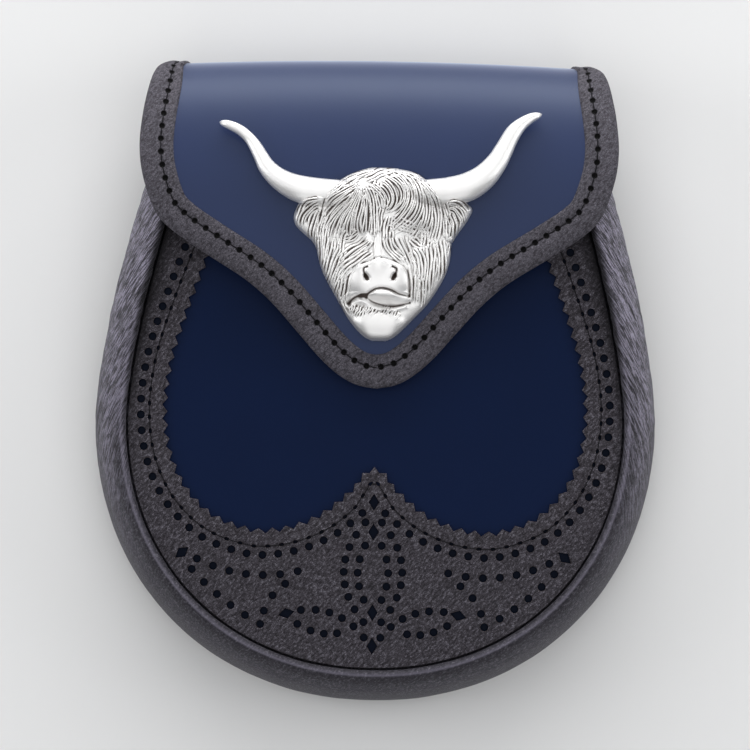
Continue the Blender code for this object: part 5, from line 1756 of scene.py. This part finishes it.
class SPORRAN_OT_bib(bpy.types.Operator):
    """The punched and pinked bib, with its row of stitches"""

    bl_idname = "sporran.bib"
    bl_label = "Bib"

    def execute(self, context):
        settings = context.scene.sporran
        brogue, stitches = settings.brogue, settings.stitches
        border = smooth_line(BORDER_LINE, BORDER_STEPS)
        inner = self.teeth(border, brogue.tooth_pitch)
        outer = pouch_line(BIB_INSET, BIB_TOP, PLATE_STATIONS)
        outlines = [np.vstack([outer, inner, inner[-2::-1] * (-1, 1)])]
        places = [tuple(place) for place in self.border_places(border, brogue.border_pitch)]
        places += [place for run in HOLE_RUNS for place in self.run_places(run)]
        for x, y in places:
            outlines += [circle(side * x, y, brogue.hole, HOLE_SIDES) for side in (1, -1)]
        for place in DIAMONDS:
            outlines += [diamond(place, side) for side in ((1, -1) if place.x else (1,))]
        needle = self.needle_places(border, stitches.bib_pitch)
        runs = np.gradient(needle, axis=0)
        for (x, y), run in zip(needle, runs / np.linalg.norm(runs, axis=1)[:, None]):
            slot = circle(0.0, 0.0, 1.0, NEEDLE_SIDES) * (NEEDLE_LENGTH / 2, NEEDLE_WIDTH / 2)
            outlines.append(slot @ np.array([run, (-run[1], run[0])]) + (x, y))
        bm = flat_plate("bib_leather", outlines, BIB_LEATHER, brogue.rounding)
        sliced(bm, BIB_SLICE)
        colours = settings.colours
        finish = grained_finish("bib_leather", colours, colours.brogue, BIB_GRAIN)
        mesh = shaded(to_mesh(bm, "bib_leather"), 30)
        mark_raw(mesh, BIB_LEATHER, brogue.rounding)
        self.shade(mesh)
        for vert in mesh.vertices:
            vert.co.z += float(bib_surface(vert.co.x, vert.co.y)) - BIB_LEATHER / 2
        piece("bib_leather", mesh, finish, "brogue_leather", "bib")
        self.sew(needle, stitches.thread)
        return {"FINISHED"}

    def shade(self, mesh):
        """Paints shade on the bib towards the crease beside the raised seam."""
        ring = pouch_line(BIB_INSET, BIB_TOP, SHADE_STATIONS)
        places = places_of(mesh)[:, :2]
        away = np.full(len(places), np.inf)
        for start in range(0, len(ring), SHADE_BATCH):
            gaps = places[:, None, :] - ring[None, start:start + SHADE_BATCH, :]
            away = np.minimum(away, np.hypot(gaps[..., 0], gaps[..., 1]).min(axis=1))
        set_field(mesh, "shade", crease_shade(BIB_INSET + away, places[:, 1]))

    def teeth(self, border, pitch):
        """The sawtooth inner edge on the right, from its top to the peak in the middle."""
        high, low = PEAK_SHOULDERS
        tips = np.vstack([offset(border, -TOOTH_TIP), high, (0.0, PEAK_TIP)])[::-1]
        roots = np.vstack([offset(border, -TOOTH_ROOT), low, (0.0, PEAK_ROOT)])[::-1]
        wanted = np.arange(0.0, distances(tips)[-1], pitch / 2)
        lines = [read_rows(wanted, distances(tips), line) for line in (tips, roots)]
        teeth = np.where((np.arange(len(wanted)) % 2 == 0)[:, None], *lines)[::-1]
        return teeth[teeth[:, 1] < BIB_TOP]

    def border_places(self, border, pitch):
        places = at_distances(border[::-1], pitch * np.arange(1, BORDER_HOLES + 1))
        return places[places[:, 1] < BIB_TOP - HOLE_MARGIN]

    def run_places(self, run):
        """The holes of a run, spaced along the parabola through its three points."""
        places = []
        for hole in range(run.holes):
            t = hole / (run.holes - 1)
            weights = ((2 * t - 1) * (t - 1), 4 * t * (1 - t), t * (2 * t - 1))
            if hole != run.skip:
                places.append(tuple(np.dot(weights, (run.start, run.middle, run.end))))
        return places

    def needle_places(self, border, pitch):
        """The needle holes from upper left to upper right, along the line inside the border."""
        right = offset(border, -STITCH_LINE)
        right = right[right[:, 0] > STITCH_SHOULDER]
        whole = np.vstack([right * (-1, 1), (0.0, STITCH_PEAK), right[::-1]])
        count = int(distances(whole)[-1] / pitch)
        places = evenly(whole, count + 1)
        return places[places[:, 1] < BIB_TOP - NEEDLE_MARGIN]

    def sew(self, needle, thread):
        places = [
            np.column_stack([line, bib_surface(line[:, 0], line[:, 1])])
            for line in trimmed(needle, NEEDLE_TRIM)
        ]
        outs = np.tile((0.0, 0.0, 1.0), (len(needle) - 1, 1))
        radius, sink = thread * BIB_THREAD, thread * FINE_SINK
        sewn("bib_stitches", "brogue_leather", *places, outs, radius, sink)


class SPORRAN_OT_flap(bpy.types.Operator):
    """The navy flap, folded over the top of the pouch"""

    bl_idname = "sporran.flap"
    bl_label = "Flap"

    def execute(self, context):
        edge = offset(binding_line(), FLAP_INSET)
        half = edge[:len(edge) // 2 + 1]
        order = np.argsort(half[:, 1])
        low, high = half[order[0], 1], half[order[-1], 1]
        alongs = low + (high - low) * np.linspace(0.0, 1.0, FLAP_ROWS)
        widths = np.interp(alongs, half[order, 1], np.maximum(half[order, 0], LEAST_WIDTH))
        shares = np.linspace(-1.0, 1.0, FLAP_COLUMNS + 1)
        x = widths[:, None] * shares
        along = np.broadcast_to(alongs[:, None], x.shape)
        places = on_flap(x, along, FLAP_LEATHER / 2)[:, ::-1]
        leather = np.stack([x, along], axis=-1)[:, ::-1]
        mesh = thickened(sheet("flap_hide", places, leather), FLAP_LEATHER)
        finish = navy_finish("flap_hide", context.scene.sporran.colours.flap, FLAP_SHINE, FLAP_GLOW)
        piece("flap_hide", mesh, finish, "navy_leather", "flap")
        return {"FINISHED"}


class SPORRAN_OT_binding(bpy.types.Operator):
    """The leather folded over the flap's edge, with its stitches"""

    bl_idname = "sporran.binding"
    bl_label = "Binding"

    def execute(self, context):
        settings = context.scene.sporran
        edge = binding_line()
        base = offset(edge, FLAP_INSET)
        outward = (edge - base) / FLAP_INSET
        both = np.column_stack([base, outward])
        both = both[base[:, 1] > BINDING_START]
        length = distances(both[:, :2])
        line = read_rows(np.linspace(0.0, length[-1], BINDING_STATIONS), length, both)
        face = self.face()
        lift = face[:, 1, None]
        out = self.reach(face[:, 0, None], line[:, 1])
        x = line[:, 0] + out * line[:, 2]
        along = line[:, 1] + out * line[:, 3]
        seam = distances(self.seam_line(line))
        leather = np.stack(np.broadcast_arrays(seam, distances(face)[:, None]), axis=-1)
        soft = wander(leather[..., 0], leather[..., 1], BINDING_WAVE_SIZE, BINDING_SEED)
        lift = lift + BINDING_WAVE * soft
        pitch = settings.stitches.binding_pitch
        stitch = int(np.argmin(np.abs(face[:len(face) // 2, 0] - BINDING_STITCH)))
        across = leather[..., 1] - distances(face)[stitch]
        step = leather[..., 0] - pitch * np.round(leather[..., 0] / pitch)
        hole = np.exp(-(np.hypot(step * NEEDLE_STRETCH, across) / NEEDLE_REACH) ** 4)
        groove = np.exp(-(across / GROOVE_REACH) ** 2)
        places = on_flap(x, along, lift - NEEDLE_DEPTH * hole - GROOVE_DEPTH * groove)
        # The needle holes, with the reach of the shade painted in them
        holes = Seam(pitch, float(distances(face)[stitch]), NEEDLE_SHADE_REACH)
        colours = settings.colours
        finish = grained_finish("binding_leather", colours, colours.binding, BINDING_GRAIN, holes)
        mesh = sheet("binding_leather", places, leather)
        mesh = thickened(mesh, BINDING_LEATHER)
        piece("binding_leather", mesh, finish, "charcoal_leather", "flap_binding")
        self.sew(line, seam, float(face[stitch, 1]), settings.stitches)
        return {"FINISHED"}

    def face(self):
        """The binding's outer face in section, with more rows beside the stitches."""
        line = softened(smooth_line(BINDING_FACE, BINDING_STEPS), BINDING_SOFTENING)
        along = distances(line)
        seam = along[np.argmin(np.abs(line[:len(line) // 2, 0] - BINDING_STITCH))]
        beside = np.linspace(seam - SEAM_REACH, seam + SEAM_REACH, SEAM_ROWS + 1)
        others = np.linspace(0.0, along[-1], BINDING_ROWS)
        others = others[np.abs(others - seam) > SEAM_REACH * SEAM_CLEAR]
        return at_distances(line, np.sort(np.concatenate([beside, others])))

    def reach(self, out, along):
        """How far out a row of the binding lies, which is narrower on the crest."""
        narrowing = CREST_NARROWING * np.exp(-(along / CREST_REACH) ** 2)
        return np.where(out < 0, out * (1 - narrowing), out)

    def seam_line(self, rows):
        return rows[:, :2] + self.reach(BINDING_STITCH, rows[:, 1])[:, None] * rows[:, 2:]

    def sew(self, line, seam, height, stitches):
        wanted = np.arange(stitches.binding_pitch, seam[-1], stitches.binding_pitch)
        flat = self.seam_line(read_rows(wanted, seam, line))
        ends = on_flap(flat[:, 0], flat[:, 1], height)
        outs = on_flap(flat[:, 0], flat[:, 1], height + 1 / MILLIMETRES) - ends
        places = trimmed(ends, BINDING_TRIM)
        radius, sink = stitches.thread * BINDING_THREAD, stitches.thread * FINE_SINK
        sewn("binding_stitches", "charcoal_leather", *places, outs[:-1], radius, sink)


class SPORRAN_OT_badge(bpy.types.Operator):
    """The cast head of a Highland cow, with its horns"""

    bl_idname = "sporran.badge"
    bl_label = "Badge"

    def execute(self, context):
        horns = (self.horn("horn_left", HORN_LEFT), self.horn("horn_right", HORN_RIGHT))
        mesh = to_mesh(opened(self.head(), *horns), "badge_casting")
        mesh.shade_smooth()
        finish = pewter_finish(context.scene.sporran.colours)
        piece("badge_casting", mesh, finish, "pewter", "badge")
        return {"FINISHED"}

    def head(self):
        """The head and ears as a relief on the flap, its foot drawn in to their outline."""
        relief = Relief()
        low, high = (np.array(corner) / MILLIMETRES for corner in (RELIEF_LOW, RELIEF_HIGH))
        x, y = np.meshgrid(*(np.arange(*ends, RELIEF_STEP) for ends in zip(low, high)))
        outside = relief.read(relief.outside, x, y)
        pull = np.clip(outside, 0, RELIEF_STEP * RELIEF_PULL)
        slope_y, slope_x = np.gradient(outside, RELIEF_STEP)
        steep = np.maximum(np.hypot(slope_x, slope_y), LEAST_SLOPE)
        seat = flap_surface(y) + BADGE_SEAT
        hollow = relief.read(relief.hollows(), x, y)
        x, y = x - pull * slope_x / steep ** 2, y - pull * slope_y / steep ** 2
        height = relief.read(relief.height, x, y) / MILLIMETRES
        depth = np.clip(-outside / HEAD_ROUNDING, 0, 1)
        rim = FOOT_SHARE + (1 - FOOT_SHARE) * np.sqrt(1 - (1 - depth) ** 2)
        height = np.where(outside < 0, np.maximum(height, LEAST_HEIGHT) * rim, 0)
        places = np.stack([x, y, seat + height], axis=-1)
        mesh = sheet("head", places, np.stack([x, y], axis=-1))
        set_field(mesh, "hollow", hollow)
        bm = opened(mesh)
        far = outside.ravel() > RELIEF_STEP * RELIEF_RIM
        bm.verts.ensure_lookup_table()
        bmesh.ops.delete(bm, geom=[bm.verts[i] for i in np.nonzero(far)[0]], context="VERTS")
        return to_mesh(bm, "head")

    def horn(self, name, rows):
        """One horn, oval in section and lying on the flap."""
        line, radius, seat = horn_line(rows)
        side = offset(line, 1.0) - line
        turns = np.linspace(0, 2 * math.pi, HORN_TURNS + 1)
        across = np.cos(turns)[None, :] * radius[:, None]
        up = np.sin(turns)[None, :] * radius[:, None] * HORN_FLATNESS
        places = np.stack([
            line[:, :1] + side[:, :1] * across,
            line[:, 1:] + side[:, 1:] * across,
            (seat + radius * HORN_FLATNESS)[:, None] + up,
        ], axis=-1)
        leather = np.stack(np.broadcast_arrays(turns[None, :], distances(line)[:, None]), axis=-1)
        bm = opened(sheet(name, places, leather))
        bmesh.ops.remove_doubles(bm, verts=bm.verts, dist=HORN_MERGE_REACH)
        bmesh.ops.holes_fill(bm, edges=bm.edges, sides=0)
        bmesh.ops.recalc_face_normals(bm, faces=bm.faces)
        return to_mesh(bm, name)


class SPORRAN_OT_back(bpy.types.Operator):
    """The flat back, sewn to the gusset all round"""

    bl_idname = "sporran.back"
    bl_label = "Back"

    def execute(self, context):
        settings = context.scene.sporran
        ring = pouch_line(BACK_INSET, BACK_TOP - BACK_CORNER, PLATE_STATIONS)
        bm = flat_plate("back_leather", [rounded_top(ring, BACK_CORNER)], BACK_LEATHER, BACK_EDGE)
        colours = settings.colours
        finish = grained_finish("back_leather", colours, colours.charcoal, BACK_GRAIN)
        mesh = shaded(to_mesh(bm, "back_leather"))
        mark_raw(mesh, BACK_LEATHER, BACK_EDGE)
        mesh.transform(Matrix.Translation((0, 0, BACK_LEATHER / 2)))
        piece("back_leather", mesh, finish, "charcoal_leather", "back_panel")
        line = pouch_line(BACK_INSET + BACK_STITCH_INSET, BACK_STITCH_TOP, LINE_STATIONS)
        count = int(distances(line)[-1] / settings.stitches.back_pitch)
        ends = evenly(line, count + 1)
        ends = np.column_stack([ends, np.zeros(len(ends))])
        outs = np.tile((0.0, 0.0, -1.0), (count, 1))
        places, thread = trimmed(ends, BACK_TRIM), settings.stitches.thread
        sewn("back_stitches", "charcoal_leather", *places, outs, thread, thread * THREAD_SINK)
        return {"FINISHED"}


class SPORRAN_OT_loops(bpy.types.Operator):
    """The two strap loops behind, each a strip sewn at both ends"""

    bl_idname = "sporran.loops"
    bl_label = "Strap loops"

    def execute(self, context):
        settings = context.scene.sporran
        colours = settings.colours
        finish = grained_finish("loop_leather", colours, colours.charcoal, LOOP_GRAIN)
        for name, x in (("strap_loop_left", -LOOP_OFFSET), ("strap_loop_right", LOOP_OFFSET)):
            bm = flat_plate(name, [self.side()], LOOP_WIDTH, LOOP_EDGE)
            stand = Matrix(((0, 0, 1, x), (1, 0, 0, 0), (0, 1, 0, 0), (0, 0, 0, 1)))
            bmesh.ops.transform(bm, matrix=stand, verts=bm.verts)
            mesh = shaded(to_mesh(bm, name + "_leather"))
            piece(name + "_leather", mesh, finish, "charcoal_leather", name)
            self.sew(name, x, settings.stitches.thread)
        return {"FINISHED"}

    def side(self):
        """The strip's side view, its foot ends, ramps and middle, as y and z."""
        inner = [
            (LOOP_TOP, -GAP),
            (LOOP_TOP - LOOP_FOOT, -GAP),
            (LOOP_TOP - LOOP_FOOT - LOOP_RAMP, -LOOP_CLEAR),
            (LOOP_BOTTOM + LOOP_FOOT + LOOP_RAMP, -LOOP_CLEAR),
            (LOOP_BOTTOM + LOOP_FOOT, -GAP),
            (LOOP_BOTTOM, -GAP),
        ]
        outer = [
            (y + LOOP_SHIFT * side, z - LOOP_LEATHER)
            for (y, z), side in zip(inner, (0, 1, 1, -1, -1, 0))
        ]
        return inner + outer[::-1]

    def sew(self, name, x, thread):
        level = -GAP - LOOP_LEATHER
        steps = LOOP_STITCH_PITCH * np.arange(-2, 2)
        lefts = x + steps + (LOOP_STITCH_PITCH - LOOP_STITCH) / 2
        rows = (LOOP_TOP - LOOP_STITCH_INSET, LOOP_BOTTOM + LOOP_STITCH_INSET)
        starts = np.array([(left, y, level) for y in rows for left in lefts])
        stops = starts + (LOOP_STITCH, 0.0, 0.0)
        outs = np.tile((0.0, 0.0, -1.0), (len(starts), 1))
        names = (name + "_stitches", "charcoal_leather")
        sewn(*names, starts, stops, outs, thread, thread * THREAD_SINK)


class SPORRAN_OT_stud(bpy.types.Operator):
    """The finish of the hidden press stud"""

    bl_idname = "sporran.stud"
    bl_label = "Press stud"

    def execute(self, context):
        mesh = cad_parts["press_stud"].data
        mesh.materials.clear()
        mesh.materials.append(stud_finish())
        return {"FINISHED"}


class SPORRAN_OT_stage(bpy.types.Operator):
    """The floor, soft lights and camera"""

    bl_idname = "sporran.stage"
    bl_label = "Studio"

    def execute(self, context):
        scene = context.scene
        studio = scene.sporran.studio
        scene.view_settings.view_transform = "Standard"
        bm = bmesh.new()
        bmesh.ops.create_grid(bm, x_segments=1, y_segments=1, size=FLOOR_REACH)
        mesh = to_mesh(bm, "floor")
        mesh.materials.append(floor_finish(studio.paper))
        floor = linked("floor", mesh)
        floor.location.z = -FLOOR_GAP
        scene.world = scene.world or bpy.data.worlds.new("studio")
        scene.world.use_nodes = True
        background = scene.world.node_tree.nodes.get("Background")
        background.inputs["Color"].default_value = (*SKY_COLOUR, 1.0)
        background.inputs["Strength"].default_value = SKY_STRENGTH
        for light in LIGHTS:
            self.add_light(light)
        self.add_camera(scene, studio)
        return {"FINISHED"}

    def add_light(self, light):
        data = bpy.data.lights.new(light.name, "AREA")
        data.shape = "RECTANGLE"
        data.size, data.size_y = light.width, light.height
        data.energy = light.power
        made = linked(light.name, data)
        made.location = light.place
        aim = Vector(light.aim) - Vector(light.place)
        made.rotation_euler = aim.to_track_quat("-Z", "Y").to_euler()

    def add_camera(self, scene, studio):
        data = bpy.data.cameras.new("camera")
        data.sensor_width = SENSOR_WIDTH
        data.lens = data.sensor_width * studio.distance / studio.width
        data.clip_start, data.clip_end = CAMERA_RANGE
        data.dof.use_dof = False
        made = linked("camera", data)
        aim = Matrix.Translation((*CAMERA_AIM, FRONT_HEIGHT + studio.distance))
        made.matrix_world = PLACE @ aim @ Matrix.Rotation(studio.roll, 4, "Z")
        scene.camera = made


class SPORRAN_PT_panel(bpy.types.Panel):
    """The sidebar's list of the sporran's pieces"""

    bl_idname = "SPORRAN_PT_panel"
    bl_label = "Sporran"
    bl_space_type = "VIEW_3D"
    bl_region_type = "UI"
    bl_category = "Sporran"

    def draw(self, context):
        settings = context.scene.sporran
        for group in (settings.colours, settings.brogue, settings.stitches, settings.studio):
            box = self.layout.box()
            for name in group.__annotations__:
                box.prop(group, name)
        for operator in OPERATORS:
            self.layout.operator(operator.bl_idname)


OPERATORS = (
    SPORRAN_OT_back,
    SPORRAN_OT_gusset,
    SPORRAN_OT_front,
    SPORRAN_OT_bib,
    SPORRAN_OT_flap,
    SPORRAN_OT_binding,
    SPORRAN_OT_badge,
    SPORRAN_OT_stud,
    SPORRAN_OT_loops,
    SPORRAN_OT_stage,
)
GROUPS = (LeatherColours, StitchSizes, BrogueSizes, StudioSettings, SporranSettings)


def register():
    for cls in (*GROUPS, *OPERATORS, SPORRAN_PT_panel):
        bpy.utils.register_class(cls)
    bpy.types.Scene.sporran = PointerProperty(type=SporranSettings)


def unregister():
    del bpy.types.Scene.sporran
    for cls in reversed((*GROUPS, *OPERATORS, SPORRAN_PT_panel)):
        bpy.utils.unregister_class(cls)


def main():
    register()
    for operator in OPERATORS:
        group, name = operator.bl_idname.split(".")
        getattr(getattr(bpy.ops, group), name)()


if __name__ == "__main__":
    main()
